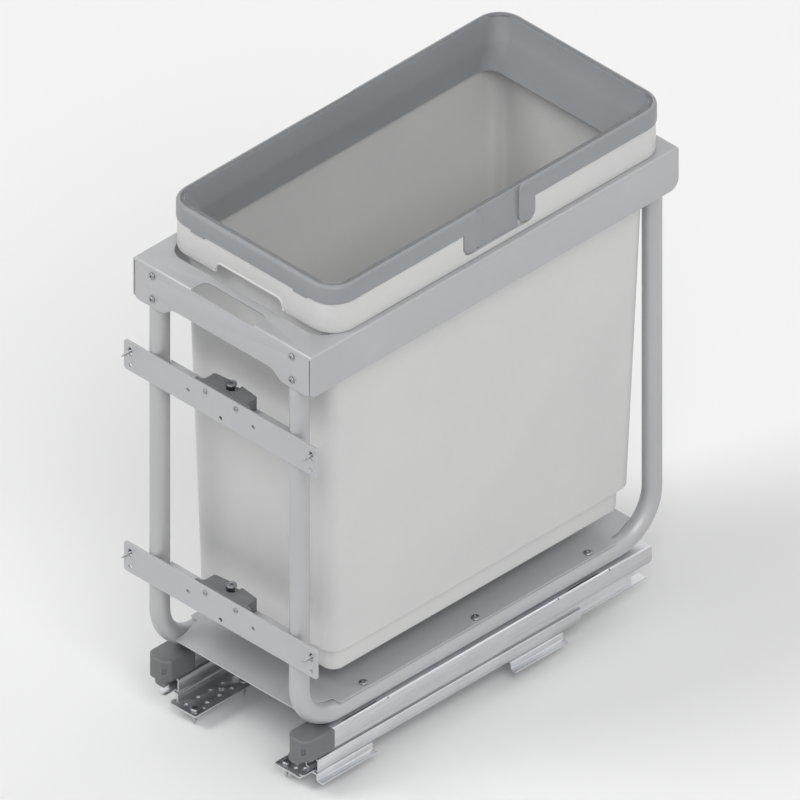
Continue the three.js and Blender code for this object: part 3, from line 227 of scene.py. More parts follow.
def make_worn_edges():
    """1 on the outer edges of a piece, broken up by noise, and 0 on its faces."""
    group, inside, outside = node_group(
        "worn_edges",
        [("Width", "NodeSocketFloat", 0.0008), ("Amount", "NodeSocketFloat", 0.5)],
        [("Mask", "NodeSocketFloat")],
    )
    where = object_place(group)
    true_normal = group.nodes.new("ShaderNodeNewGeometry").outputs["Normal"]
    rounded = linked(group, "ShaderNodeBevel", {"samples": 4}, Radius=inside.outputs["Width"])
    agree = linked(group, "ShaderNodeVectorMath", {"operation": "DOT_PRODUCT"}, i0=true_normal,
                   i1=rounded.outputs["Normal"])
    edge = linked(group, "ShaderNodeMapRange", Value=agree.outputs["Value"], From_Min=0.995, From_Max=0.90)
    patches = linked(group, "ShaderNodeTexNoise", Vector=where, Scale=140.0, Detail=4.0, Roughness=0.7)
    broken = linked(group, "ShaderNodeMapRange", Value=patches.outputs["Fac"], From_Min=0.42, From_Max=0.62)
    worn = worked_out(group, "MULTIPLY", edge.outputs[0], broken.outputs[0])
    result = worked_out(group, "MULTIPLY", worn, inside.outputs["Amount"], clamp=True)
    group.links.new(result, outside.inputs["Mask"])
    return group


def make_settled_dust():
    """A thin film on what faces up, thicker in patches."""
    group, inside, outside = node_group(
        "settled_dust",
        [("Amount", "NodeSocketFloat", 0.2)],
        [("Mask", "NodeSocketFloat")],
    )
    where = object_place(group)
    normal = group.nodes.new("ShaderNodeNewGeometry").outputs["Normal"]
    parts = linked(group, "ShaderNodeSeparateXYZ", Vector=normal)
    upward = linked(group, "ShaderNodeMapRange", Value=parts.outputs["Z"], From_Min=0.55, From_Max=1.0)
    patches = linked(group, "ShaderNodeTexNoise", Vector=where, Scale=60.0, Detail=5.0, Roughness=0.7)
    layer = worked_out(group, "MULTIPLY", upward.outputs[0], patches.outputs["Fac"])
    result = worked_out(group, "MULTIPLY", layer, inside.outputs["Amount"], clamp=True)
    group.links.new(result, outside.inputs["Mask"])
    return group


CLOUDY_TONE = make_cloudy_tone()
FINE_GRAIN = make_fine_grain()
DRAWN_LINES = make_drawn_lines()
WORN_EDGES = make_worn_edges()
SETTLED_DUST = make_settled_dust()


def place_group(tree, group, **values):
    node = tree.nodes.new("ShaderNodeGroup")
    node.node_tree = group
    for name, value in values.items():
        node.inputs[name.replace("_", " ")].default_value = value
    return node


def blend_colours(tree, factor, first, second):
    """Mixes two colours; each is a colour or another node's colour socket."""
    node = tree.nodes.new("ShaderNodeMix")
    node.data_type = "RGBA"
    tree.links.new(factor, node.inputs["Factor"])
    for socket, value in ((node.inputs[6], first), (node.inputs[7], second)):
        if isinstance(value, bpy.types.NodeSocket):
            tree.links.new(value, socket)
        else:
            socket.default_value = (*value, 1.0)
    return node.outputs[2]


def new_finish(name, specular=0.5, coat=0.0, coat_roughness=0.2):
    material = bpy.data.materials.new(name)
    material.use_nodes = True
    tree = material.node_tree
    shader = tree.nodes["Principled BSDF"]
    shader.inputs["Specular IOR Level"].default_value = specular
    shader.inputs["Coat Weight"].default_value = coat
    shader.inputs["Coat Roughness"].default_value = coat_roughness
    return material, tree, shader


def feed_between(tree, factor, low, high, socket):
    """Feeds a socket with a value that goes from low to high as a factor goes from 0 to 1."""
    spread = linked(tree, "ShaderNodeMapRange", Value=factor, To_Min=low, To_Max=high)
    tree.links.new(spread.outputs[0], socket)


def feed_bump(tree, height, strength, distance, shader):
    bump = linked(tree, "ShaderNodeBump", Height=height, Strength=strength, Distance=distance)
    tree.links.new(bump.outputs[0], shader.inputs["Normal"])


def moulded_plastic(name, deep, pale, roughness, grain, grain_depth, edge_tone, dust=0.1):
    """Plastic with a fine moulded texture, slow changes of tone, rubbed edges and a little dust."""
    material, tree, shader = new_finish(name, specular=0.45)
    tone = place_group(tree, CLOUDY_TONE, Size=9.0, Contrast=1.1)
    colour = blend_colours(tree, tone.outputs["Factor"], deep, pale)
    rubbed = place_group(tree, WORN_EDGES, Width=0.0012, Amount=0.55)
    colour = blend_colours(tree, rubbed.outputs["Mask"], colour, edge_tone)
    film = place_group(tree, SETTLED_DUST, Amount=dust)
    colour = blend_colours(tree, film.outputs["Mask"], colour, (0.62, 0.60, 0.56))
    tree.links.new(colour, shader.inputs["Base Color"])
    feed_between(tree, tone.outputs["Factor"], roughness - 0.05, roughness + 0.07, shader.inputs["Roughness"])
    pebbles = place_group(tree, FINE_GRAIN, Grain_Scale=grain, Softness=0.6)
    feed_bump(tree, pebbles.outputs["Height"], 0.35, grain_depth, shader)
    return material


def powder_coat(name, deep, pale, bare):
    """Sheet steel or tube under a finely pebbled, half-matt coat that is rubbed thin on its edges."""
    material, tree, shader = new_finish(name, specular=0.5, coat=0.12, coat_roughness=0.35)
    tone = place_group(tree, CLOUDY_TONE, Size=7.0, Contrast=0.9)
    colour = blend_colours(tree, tone.outputs["Factor"], deep, pale)
    rubbed = place_group(tree, WORN_EDGES, Width=0.0009, Amount=0.7)
    colour = blend_colours(tree, rubbed.outputs["Mask"], colour, bare)
    film = place_group(tree, SETTLED_DUST, Amount=0.12)
    colour = blend_colours(tree, film.outputs["Mask"], colour, (0.60, 0.58, 0.54))
    tree.links.new(colour, shader.inputs["Base Color"])
    feed_between(tree, tone.outputs["Factor"], 0.36, 0.5, shader.inputs["Roughness"])
    feed_between(tree, rubbed.outputs["Mask"], 0.25, 0.8, shader.inputs["Metallic"])
    pebbles = place_group(tree, FINE_GRAIN, Grain_Scale=1100.0, Softness=0.75)
    feed_bump(tree, pebbles.outputs["Height"], 0.28, 0.0002, shader)
    return material


def plated_steel(name, deep, pale, stretch, roughness, line_scale=1500.0):
    """Zinc-plated steel with lines from rolling, cloudy plating and brighter edges."""
    material, tree, shader = new_finish(name, specular=0.5)
    shader.inputs["Metallic"].default_value = 1.0
    tone = place_group(tree, CLOUDY_TONE, Size=16.0, Contrast=1.6)
    colour = blend_colours(tree, tone.outputs["Factor"], deep, pale)
    lines = place_group(tree, DRAWN_LINES, Stretch=stretch, Line_Scale=line_scale)
    shade = linked(tree, "ShaderNodeMapRange", Value=lines.outputs["Factor"], To_Min=0.0, To_Max=0.35)
    colour = blend_colours(tree, shade.outputs[0], colour, [value * 0.82 for value in deep])
    rubbed = place_group(tree, WORN_EDGES, Width=0.0006, Amount=0.6)
    colour = blend_colours(tree, rubbed.outputs["Mask"], colour, (0.86, 0.87, 0.88))
    tree.links.new(colour, shader.inputs["Base Color"])
    feed_between(tree, tone.outputs["Factor"], roughness - 0.06, roughness + 0.1, shader.inputs["Roughness"])
    feed_bump(tree, lines.outputs["Height"], 0.2, 0.00012, shader)
    return material


# each has its deeper and its paler tone; a coat or a plastic ends with the colour of its rubbed edges
FINISHES = {
    "coated_steel": powder_coat(
        "silver powder coat", (0.43, 0.44, 0.455), (0.50, 0.51, 0.525), (0.68, 0.68, 0.68)),
    "zinc_plated_steel": plated_steel(
        "rolled zinc plate", (0.60, 0.615, 0.64), (0.73, 0.74, 0.75), (1.0, 0.02, 1.0), 0.32),
    "screw_steel": plated_steel(
        "screw plating", (0.30, 0.305, 0.32), (0.40, 0.405, 0.42), (1.0, 1.0, 1.0), 0.3, 900.0),
    "bin_plastic": moulded_plastic(
        "bin polypropylene", (0.61, 0.615, 0.61), (0.68, 0.68, 0.67), 0.46, 700.0, 0.00025,
        (0.76, 0.76, 0.75)),
    "ring_plastic": moulded_plastic(
        "ring polypropylene", (0.27, 0.28, 0.295), (0.32, 0.335, 0.35), 0.42, 900.0, 0.0002,
        (0.46, 0.47, 0.48)),
    "grey_plastic": moulded_plastic(
        "dark glass-filled nylon", (0.125, 0.13, 0.138), (0.165, 0.17, 0.18), 0.46, 1300.0, 0.0002,
        (0.36, 0.365, 0.37), dust=0.06),
    "damper_plastic": moulded_plastic(
        "damper acetal", (0.17, 0.18, 0.19), (0.21, 0.22, 0.23), 0.38, 1500.0, 0.0001,
        (0.33, 0.34, 0.35), dust=0.06),
    "roller_plastic": moulded_plastic(
        "natural acetal", (0.66, 0.65, 0.60), (0.72, 0.71, 0.66), 0.34, 1500.0, 0.0001,
        (0.80, 0.79, 0.75), dust=0.03),
}


# ------------------------------------------------------------------ making and placing pieces

def add_object(name, data):
    thing = bpy.data.objects.new(name, data)
    bpy.context.scene.collection.objects.link(thing)
    return thing


def mesh_piece(name, mesh, node=None, body=None, finish=None, sharp=32):
    """A mesh as a piece of the unit. With a node, it stands for that node and takes its body and finish."""
    body = body or body_of_node[node]
    finish = finish or slot_of_node[node]
    mesh.polygons.foreach_set("use_smooth", [True] * len(mesh.polygons))
    mesh.set_sharp_from_angle(angle=math.radians(sharp))
    mesh.materials.clear()
    mesh.materials.append(FINISHES[finish])
    piece = add_object(name, mesh)
    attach(piece, body)
    if node:
        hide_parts(node)
    return piece


def mesh_from(name, points, faces):
    """A mesh from points in millimetres."""
    mesh = bpy.data.meshes.new(name)
    mesh.from_pydata([tuple(mm(value) for value in point) for point in points], [], faces)
    mesh.validate()
    return mesh


def skin(name, rings, closed=False):
    """A mesh over rings of points. It closes on itself, or has a flat fan at its first and last ring."""
    size = len(rings[0])
    points = [point for ring in rings for point in ring]
    faces = []
    for i in range(len(rings) if closed else len(rings) - 1):
        low, high = i * size, (i + 1) % len(rings) * size
        for j in range(size):
            k = (j + 1) % size
            faces.append((low + j, low + k, high + k, high + j))
    if not closed:
        faces.append(tuple(reversed(range(size))))
        faces.append(tuple(range(len(points) - size, len(points))))
    return mesh_from(name, points, faces)


def moved(mesh, matrix):
    """The mesh transformed by a matrix whose shift is in metres, with its faces still looking out."""
    mesh.transform(matrix)
    if matrix.determinant() < 0:
        mesh.flip_normals()
    return mesh


def applied(name, work, *tools):
    """The mesh of a working object with its modifiers applied. It and its tools are removed."""
    result = bpy.data.meshes.new_from_object(work.evaluated_get(bpy.context.evaluated_depsgraph_get()))
    result.name = name
    bpy.data.batch_remove([part for used in (work, *tools) for part in (used, used.data)])
    return result


def combined(name, first, *steps):
    """The first mesh with others cut out of it or joined to it. A step is ("DIFFERENCE" or "UNION", mesh)."""
    work = add_object(f"{name}_work", first)
    tools = []
    for operation, mesh in steps:
        tools.append(add_object(f"{name}_tool", mesh))
        modifier = work.modifiers.new("combine", "BOOLEAN")
        modifier.operation = operation
        modifier.solver = "EXACT"
        modifier.object = tools[-1]
    return applied(name, work, *tools)


def outward(mesh, merge=0.0):
    """The mesh with its faces looking out, and with points that are closer than merge made one."""
    work = bmesh.new()
    work.from_mesh(mesh)
    if merge:
        bmesh.ops.remove_doubles(work, verts=work.verts, dist=mm(merge))
    bmesh.ops.recalc_face_normals(work, faces=work.faces)
    work.to_mesh(mesh)
    work.free()
    return mesh


def eased(mesh, width, angle=28):
    """The mesh with its sharp edges rounded by a width in millimetres."""
    work = bmesh.new()
    work.from_mesh(mesh)
    bmesh.ops.remove_doubles(work, verts=work.verts, dist=mm(0.005))
    bmesh.ops.dissolve_limit(work, angle_limit=math.radians(0.6), verts=work.verts, edges=work.edges)
    work.to_mesh(mesh)
    work.free()
    piece = add_object(f"{mesh.name}_work", mesh)
    modifier = piece.modifiers.new("edges", "BEVEL")
    modifier.width = mm(width)
    modifier.segments = 2
    modifier.limit_method = "ANGLE"
    modifier.angle_limit = math.radians(angle)
    modifier.use_clamp_overlap = True
    return applied(mesh.name, piece)


def block(name, x0, x1, y0, y1, z0, z1):
    """A box between two corners, as a tool to cut or join with."""
    points = [(x, y, z) for z in (z0, z1) for y in (y0, y1) for x in (x0, x1)]
    faces = [(0, 2, 3, 1), (4, 5, 7, 6), (0, 1, 5, 4), (2, 6, 7, 3), (0, 4, 6, 2), (1, 3, 7, 5)]
    return mesh_from(name, points, faces)


def arc(x, y, radius, start, end, steps):
    """Points on an arc, its ends included. Angles are in degrees."""
    angles = [math.radians(start + (end - start) * i / steps) for i in range(steps + 1)]
    return [(x + radius * math.cos(a), y + radius * math.sin(a)) for a in angles]


def rounded_rectangle(x0, x1, y0, y1, low, high=None, steps=8):
    """A rectangle whose corners have the radius low at y0 and high at y1, or low at both."""
    high = low if high is None else high
    return (arc(x1 - low, y0 + low, low, -90, 0, steps) + arc(x1 - high, y1 - high, high, 0, 90, steps)
            + arc(x0 + high, y1 - high, high, 90, 180, steps) + arc(x0 + low, y0 + low, low, 180, 270, steps))


def softened(corners, radius, steps=5):
    """A polygon with every corner rounded. A corner may bring its own radius as a third number."""
    points = []
    for i, corner in enumerate(corners):
        here = Vector(corner[:2])
        size = corner[2] if len(corner) > 2 else radius
        if size <= 0:
            points.append(tuple(here))
            continue
        ends = []
        for other in (corners[i - 1], corners[(i + 1) % len(corners)]):
            along = Vector(other[:2]) - here
            ends.append(here + along.normalized() * min(size, along.length * 0.48))
        for step in range(steps + 1):
            t = step / steps
            points.append(tuple(ends[0] * (1 - t) ** 2 + here * 2 * t * (1 - t) + ends[1] * t * t))
    return points


def circle(x, y, radius, sides=28):
    return arc(x, y, radius, 0, 360 - 360 / sides, sides - 1)


def plate(name, outline, holes, thickness, edge=0.3):
    """A flat plate with holes and rounded edges in the XY plane, its middle at Z = 0."""
    curve = bpy.data.curves.new(name, "CURVE")
    curve.dimensions = "2D"
    curve.fill_mode = "BOTH"
    curve.extrude = mm(thickness / 2 - edge)
    curve.bevel_depth = mm(edge)
    curve.bevel_resolution = 1
    curve.offset = -mm(edge)
    for loop in [outline, *holes]:
        spline = curve.splines.new("POLY")
        spline.points.add(len(loop) - 1)
        for point, (x, y) in zip(spline.points, loop):
            point.co = (mm(x), mm(y), 0, 1)
        spline.use_cyclic_u = True
    return outward(applied(name, add_object(name, curve)), merge=0.01)


def quarter_round(steps):
    """Pairs along a quarter circle from (0, 1) to (1, 0), which bulge towards (0, 0)."""
    turns = [math.radians(90 * i / steps) for i in range(steps + 1)]
    return [(1 - math.cos(turn), 1 - math.sin(turn)) for turn in turns]


def revolved(name, outline, sides=32):
    """A turned mesh about Z from the [radius, height] points of its outline, axis to axis."""
    turns = [2 * math.pi * j / sides for j in range(sides)]
    return skin(name, [[(radius * math.cos(turn), radius * math.sin(turn), height) for turn in turns]
                       for radius, height in outline[1:-1]])


# what faces +Z, a plate or a screw's head, is turned to face -Y or +Y
TO_FRONT = Matrix.Rotation(math.radians(90), 4, "X")
TO_BACK = Matrix.Rotation(math.radians(-90), 4, "X")


def shift(x, y, z):
    return Matrix.Translation((mm(x), mm(y), mm(z)))


# ------------------------------------------------------------------ tubes

def bent_tube(name):
    """The right-hand tube: down the front leg, along the floor and up the rear leg, with its bore."""
    bend_steps, sides = 18, 40
    y_front, y_rear = TUBE_LEG_Y
    centre_z = TUBE_RUN_Z + TUBE_BEND
    heights = [TUBE_TOP] + [PRESS_HIGH + (PRESS_LOW - PRESS_HIGH) * i / 6 for i in range(7)]
    path = [(y_front, z, 0.0) for z in heights]
    for y, start in ((y_front + TUBE_BEND, 180), (y_rear - TUBE_BEND, 270)):
        for i in range(bend_steps + 1):
            turn = math.radians(start + 90 * i / bend_steps)
            out, up = TUBE_BEND * math.cos(turn), TUBE_BEND * math.sin(turn)
            path.append((y + out, centre_z + up, turn - math.pi))
    path += [(y_rear, z, math.pi) for z in reversed(heights)]

    def ring(station, radius):
        y, z, turn = station
        press = min(1.0, max(0.0, (z - PRESS_LOW) / (PRESS_HIGH - PRESS_LOW)))
        points = []
        for j in range(sides):
            around = 2 * math.pi * j / sides
            across, out = radius * math.sin(around), radius * math.cos(around)
            if out > 0:
                out *= 1 - press * press * (3 - 2 * press) * (1 - TUBE_PRESSED / TUBE_RADIUS)
            points.append((TUBE_X + across, y - out * math.cos(turn), z - out * math.sin(turn)))
        return points

    outer = [ring(station, TUBE_RADIUS) for station in path]
    inner = [ring(station, TUBE_RADIUS - TUBE_WALL) for station in reversed(path)]
    return outward(skin(name, outer + inner, closed=True))


MIRROR = Matrix.Scale(-1, 4, (1, 0, 0))
mesh_piece("right_bent_tube", bent_tube("right_bent_tube"), "right_tube")
mesh_piece("left_bent_tube", moved(bent_tube("left_bent_tube"), MIRROR), "left_tube")


# ------------------------------------------------------------------ bin

def ring_at(half, y0, y1, radius, z, steps=10):
    """A rounded rectangle at one height. y0 and y1 are measured from the collar's front face."""
    outline = rounded_rectangle(-half, half, FRONT + y0, FRONT + y1, radius, steps=steps)
    return [(x, y, z) for x, y in outline]


def wall_ring(z, inset=0.0):
    """The outline of the bin's drafted body at a height, drawn in by an inset."""
    draft = BIN_DRAFT * (RIM_TOP - z) + inset
    rear = BIN_REAR_DRAFT * (RIM_TOP - z) + inset
    return ring_at(BIN_HALF - draft, BIN_FRONT + draft, BIN_BACK - rear, BIN_CORNER - inset / 2, z)


def skirt_ring(z, inset=0.0):
    """The outline of the bin's rim at a height, drawn in by an inset."""
    y0, y1 = RIM_FRONT + inset, RIM_FRONT + RIM_LENGTH - inset
    return ring_at(RIM_WIDTH / 2 - inset, y0, y1, RIM_CORNER - inset, z)


def span_on(side, near, far):
    """A span along X on the right, where side is 1, or on the left, where it is -1."""
    return sorted((side * near, side * far))


def prism_x(name, outline, x0, x1):
    """An outline drawn in Y and Z, between two X."""
    x0, x1 = min(x0, x1), max(x0, x1)
    return skin(name, [[(x, y, z) for y, z in outline] for x in (x0, x1)])


def prism_y(name, outline, y0, y1):
    """An outline drawn in X and Z, between two Y."""
    return skin(name, [[(x, y, z) for x, z in outline] for y in (y1, y0)])


FOOT_INSET, FOOT_EDGE = 8.3, 4.8
NOTCH_HALF, NOTCH_HEIGHT, NOTCH_CORNER = 49.4, 14.8, 8.0
LOBE_MIDDLE, LOBE_GAP, LOBE_WIDTH, LOBE_CORNER = 288.0, 57.0, 24.5, 9.0
POCKET_DEPTH, POCKET_LEDGE = 4.0, 8.0


def bin_mesh():
    """The bin: up its outside, over the rim and down its skirt, back up and down its inside."""
    skirt_bottom = COLLAR_TOP + SEAT_GAP
    foot = quarter_round(5)
    rings = [wall_ring(BIN_BOTTOM + FOOT_EDGE * up, FOOT_INSET + FOOT_EDGE * inward) for up, inward in foot]
    rings += [wall_ring(BIN_STEP - 1.2, FOOT_INSET), wall_ring(BIN_STEP - 0.4, FOOT_INSET - 0.7),
              wall_ring(BIN_STEP + 0.6, 1.2), wall_ring(BIN_STEP + 1.1, 0.3), wall_ring(BIN_STEP + 2.1)]
    rings += [wall_ring(RIM_TOP - 8), wall_ring(RIM_TOP - 4, -0.6), wall_ring(RIM_TOP - BIN_WALL, -2.5)]
    rings += [skirt_ring(RIM_TOP - BIN_WALL, 3.2), skirt_ring(RIM_TOP - 3.2, BIN_WALL)]
    rings += [skirt_ring(skirt_bottom, BIN_WALL), skirt_ring(skirt_bottom, 0.5)]
    rings.append(skirt_ring(skirt_bottom + 0.5))
    rings += [skirt_ring(RIM_TOP - 2 * down, 2 * inward) for inward, down in quarter_round(4)]
    rings += [wall_ring(RIM_TOP, BIN_WALL - 1), wall_ring(RIM_TOP - 1, BIN_WALL)]
    rings += [wall_ring(BIN_STEP + 5, BIN_WALL), wall_ring(BIN_STEP + 3.4, BIN_WALL + 1.2),
              wall_ring(BIN_STEP + 2.2, BIN_WALL + FOOT_INSET - 1)]
    rings.append(wall_ring(BIN_STEP, BIN_WALL + FOOT_INSET))
    rings += [wall_ring(BIN_BOTTOM + BIN_WALL + FOOT_EDGE * up, FOOT_INSET + BIN_WALL + FOOT_EDGE * inward)
              for up, inward in reversed(foot)]
    rim_face = FRONT + RIM_FRONT
    notch = rounded_rectangle(-NOTCH_HALF, NOTCH_HALF, skirt_bottom - 5, COLLAR_TOP + NOTCH_HEIGHT, 0.1,
                              NOTCH_CORNER)
    steps = [("DIFFERENCE", prism_y("notch", notch, rim_face - 1, rim_face + BIN_WALL + 1))]
    # a pocket in the rim on each side takes the ring's lobes
    middle = FRONT + LOBE_MIDDLE
    reach = LOBE_GAP / 2 + LOBE_WIDTH + 0.6
    ledge = COLLAR_TOP + POCKET_LEDGE
    floor_x = RIM_WIDTH / 2 - POCKET_DEPTH
    pocket = rounded_rectangle(middle - reach, middle + reach, ledge, RIM_TOP + 20, LOBE_WIDTH / 2, 1)
    for side in (-1, 1):
        wall = block("pocket_wall", *span_on(side, floor_x - BIN_WALL, RIM_WIDTH / 2 - 0.8),
                     middle - reach - BIN_WALL, middle + reach + BIN_WALL, ledge - BIN_WALL, RIM_TOP - 0.8)
        steps.append(("UNION", wall))
        steps.append(("DIFFERENCE", prism_x("pocket", pocket, side * floor_x, side * (RIM_WIDTH / 2 + 2))))
    return combined("bin_shell", skin("bin_shell", rings), *steps)


mesh_piece("bin_shell", bin_mesh(), "bin", sharp=40)


def bead(name, path, radius, sides=10):
    """A round bead along a path of (x, y, z) points at one Y."""
    back = Vector((0, 1, 0))
    turns = [2 * math.pi * j / sides for j in range(sides)]
    rings = []
    for i, point in enumerate(path):
        here = Vector(point)
        ahead = Vector(path[min(i + 1, len(path) - 1)]) - Vector(path[max(i - 1, 0)])
        across = ahead.normalized().cross(back).normalized()
        spokes = [math.cos(turn) * across + math.sin(turn) * back for turn in turns]
        rings.append([tuple(here + radius * spoke) for spoke in spokes])
    return skin(name, rings)


def notch_lip():
    """The bead around the hand-hold, whose ends turn out along the rim's lower edge."""
    top = COLLAR_TOP + NOTCH_HEIGHT
    y = FRONT + RIM_FRONT + 0.2
    low = COLLAR_TOP + SEAT_GAP + 1.7
    straight = top - NOTCH_CORNER
    hook = [(NOTCH_HALF + 3.4, low), (NOTCH_HALF + 1.4, low + 0.4), (NOTCH_HALF + 0.3, low + 2.0)]
    right_side = [*hook, (NOTCH_HALF, low + 4.0), (NOTCH_HALF, straight - 2)]
    over = arc(NOTCH_HALF - NOTCH_CORNER, straight, NOTCH_CORNER, 0, 90, 10)
    over += arc(NOTCH_CORNER - NOTCH_HALF, straight, NOTCH_CORNER, 90, 180, 10)
    left_side = [(-x, z) for x, z in reversed(right_side)]
    path = [(x, y, z) for x, z in right_side + over + left_side]
    return outward(bead("hand_hold_lip", path, 1.6))


mesh_piece("hand_hold_lip", notch_lip(), body="bin", finish="bin_plastic")


# ------------------------------------------------------------------ bag ring

def lobe_gap_outline(middle, low, top):
    """The gap between two lobes, in Y and Z. It widens in a curve to the ring's top."""
    near, far = middle - LOBE_GAP / 2, middle + LOBE_GAP / 2
    r = LOBE_CORNER
    outline = [(near, low), (far, low)] + arc(far + r, top - r, r, 90, 180, 10)[::-1]
    outline += [(far + r, top + 1), (near - r, top + 1)]
    return outline + arc(near - r, top - r, r, 0, 90, 10)[::-1]


def ring_mesh():
    """The ring: up its band, over the ridged top, down the funnel inside and back up under the top."""
    bottom, top = RIM_TOP + SEAT_GAP, RIM_TOP + 22.5
    proud, edge, band_wall, skin_wall = 1.2, 4.5, 3.2, 1.6
    inner_inset, funnel_depth, side_inset, end_inset = 9.9, 54.0, 9.4, 26.0
    ridges, ridge_pitch, groove_depth = 4, 1.25, 1.5
    lobe_drop, lobe_radius = 26.7, 11.9

    def band(z, inset=0.0):
        return skirt_ring(z, inset - proud)

    def inner(z, inset=0.0):
        inset += inner_inset - proud
        y0, y1 = RIM_FRONT + inset, RIM_FRONT + RIM_LENGTH - inset
        return ring_at(RIM_WIDTH / 2 - inset, y0, y1, BIN_CORNER + 1, z)

    def funnel(z, out):
        depth = min(1.0, (top - z) / funnel_depth)
        inset = inner_inset - proud
        half = RIM_WIDTH / 2 - inset
        side_in = max(side_inset * depth, half - (BIN_HALF - 2 * BIN_WALL - skin_wall))
        y0 = RIM_FRONT + inset + end_inset * depth - out
        y1 = RIM_FRONT + RIM_LENGTH - inset - end_inset * depth + out
        return ring_at(half - side_in + out, y0, y1, BIN_CORNER + 1 + out, z)

    rings = [band(bottom, 0.4), band(bottom + 0.4)]
    rings += [band(top - edge * down, edge * inward) for inward, down in quarter_round(6)]
    # fine ridges along the top, on the side of the opening
    for i in range(ridges):
        inset = edge + 0.1 + i * ridge_pitch
        rings += [band(top, inset), band(top - groove_depth, inset + 0.15)]
        rings += [band(top - groove_depth, inset + 0.7), band(top, inset + 0.85)]
    rings += [inner(top - 0.3, -0.3), inner(top - 2.4)]
    neck = bottom + 2
    rings += [funnel(neck, 0), funnel(top - 30, 0), funnel(top - funnel_depth, 0)]
    rings += [funnel(top - funnel_depth, skin_wall), funnel(top - 30, skin_wall), funnel(neck, skin_wall)]
    rings += [inner(top - 4, -skin_wall), band(top - 3.6, band_wall + 1.5)]
    rings += [band(top - edge - skin_wall, band_wall), band(bottom, band_wall)]

    middle = FRONT + LOBE_MIDDLE
    face = RIM_WIDTH / 2 + proud
    panel_back = RIM_WIDTH / 2 - POCKET_DEPTH + SEAT_GAP
    panel_front = panel_back + 1.7
    ledge = COLLAR_TOP + POCKET_LEDGE + SEAT_GAP
    half_gap = LOBE_GAP / 2
    stand = Matrix(((0, 0, 1, 0), (1, 0, 0, 0), (0, 1, 0, 0), (0, 0, 0, 1)))  # X to Y, Y to Z and Z to X
    steps = []
    for side in (-1, 1):
        recess = span_on(side, panel_front, face + 1)
        panel = span_on(side, panel_back, panel_front)
        link = span_on(side, panel_back - band_wall, panel_front - 0.2)
        steps.append(("DIFFERENCE", prism_x("gap", lobe_gap_outline(middle, bottom - 1, top), *recess)))
        for name, span, reach, low, high in (
            ("panel", panel, half_gap + 1, ledge, top - edge),
            ("crown", panel, half_gap + LOBE_CORNER + 1, top - 11, top - edge),
            ("link", link, half_gap + 0.8, bottom, top - edge - 0.3),
        ):
            steps.append(("UNION", block(name, *span, middle - reach, middle + reach, low, high)))
        for way in (-1, 1):
            near, far = sorted((middle + way * half_gap, middle + way * (half_gap + LOBE_WIDTH)))
            outline = rounded_rectangle(near, far, bottom - lobe_drop, top - edge * 0.5, lobe_radius, 8)
            lobe = plate("lobe", outline, [], face - panel_back + 0.1, edge=1.1)
            steps.append(("UNION", moved(lobe, shift(side * (face + panel_back + 0.1) / 2, 0, 0) @ stand)))
    # snaps that hold the ring to the bin's rim, at the front and at the rear
    for x in (-86.0, 66.0):
        for y in (RIM_FRONT - proud, RIM_FRONT + RIM_LENGTH + SEAT_GAP):
            y0, y1 = FRONT + y + 0.05, FRONT + y + 0.85
            steps.append(("UNION", block("snap", x, x + 20, y0, y1, bottom - 2.6, bottom + 1)))
    return combined("bag_ring_shell", skin("bag_ring_shell", rings, closed=True), *steps)


mesh_piece("bag_ring_shell", ring_mesh(), "bag_ring", sharp=35)


# ------------------------------------------------------------------ door strips

# a strip's holes on each side: (from its middle, above its middle, radius), and the door screw's slot
STRIP_HOLES = ((22.8, 11.0, 1.95), (48.4, 0.0, 2.5), (134.8, -11.6, 2.5))
STRIP_SLOT = (134.8, 6.3, 2.5, 11)


def slot_outline(x, z, half_width, length, steps=8):
    """An upright slot with round ends, in X and Z."""
    reach = length / 2 - half_width
    return arc(x, z + reach, half_width, 0, 180, steps) + arc(x, z - reach, half_width, 180, 360, steps)


for level, bottom in STRIP_BOTTOMS.items():
    middle = bottom + STRIP_HEIGHT / 2
    holes = [circle(0, middle - 12.4, 2.5)]
    for side in (-1, 1):
        holes += [circle(side * x, middle + up, radius) for x, up, radius in STRIP_HOLES]
        x, up, half_width, length = STRIP_SLOT
        holes.append(slot_outline(side * x, middle + up, half_width, length))
    outline = rounded_rectangle(-144, 144, bottom, bottom + STRIP_HEIGHT, 4)
    strip = plate(f"{level}_strip_plate", outline, holes, STRIP_THICKNESS, edge=0.35)
    moved(strip, shift(0, STRIP_FRONT + STRIP_THICKNESS / 2, 0) @ TO_FRONT)
    mesh_piece(f"{level}_strip_plate", strip, f"{level}_door_strip", sharp=12)


# ------------------------------------------------------------------ screws

def cross_cutters(name, reach, blade, low, high):
    """Two tapered blades, drawn as blocks with narrower lower ends."""
    cutters = []
    for x, y in ((reach, blade), (blade, reach)):
        rings = [[(-x * k, -y * k, z), (x * k, -y * k, z), (x * k, y * k, z), (-x * k, y * k, z)]
                 for z, k in ((low, 0.55), (high, 1.0))]
        cutters.append(("DIFFERENCE", skin(name, rings)))
    return cutters


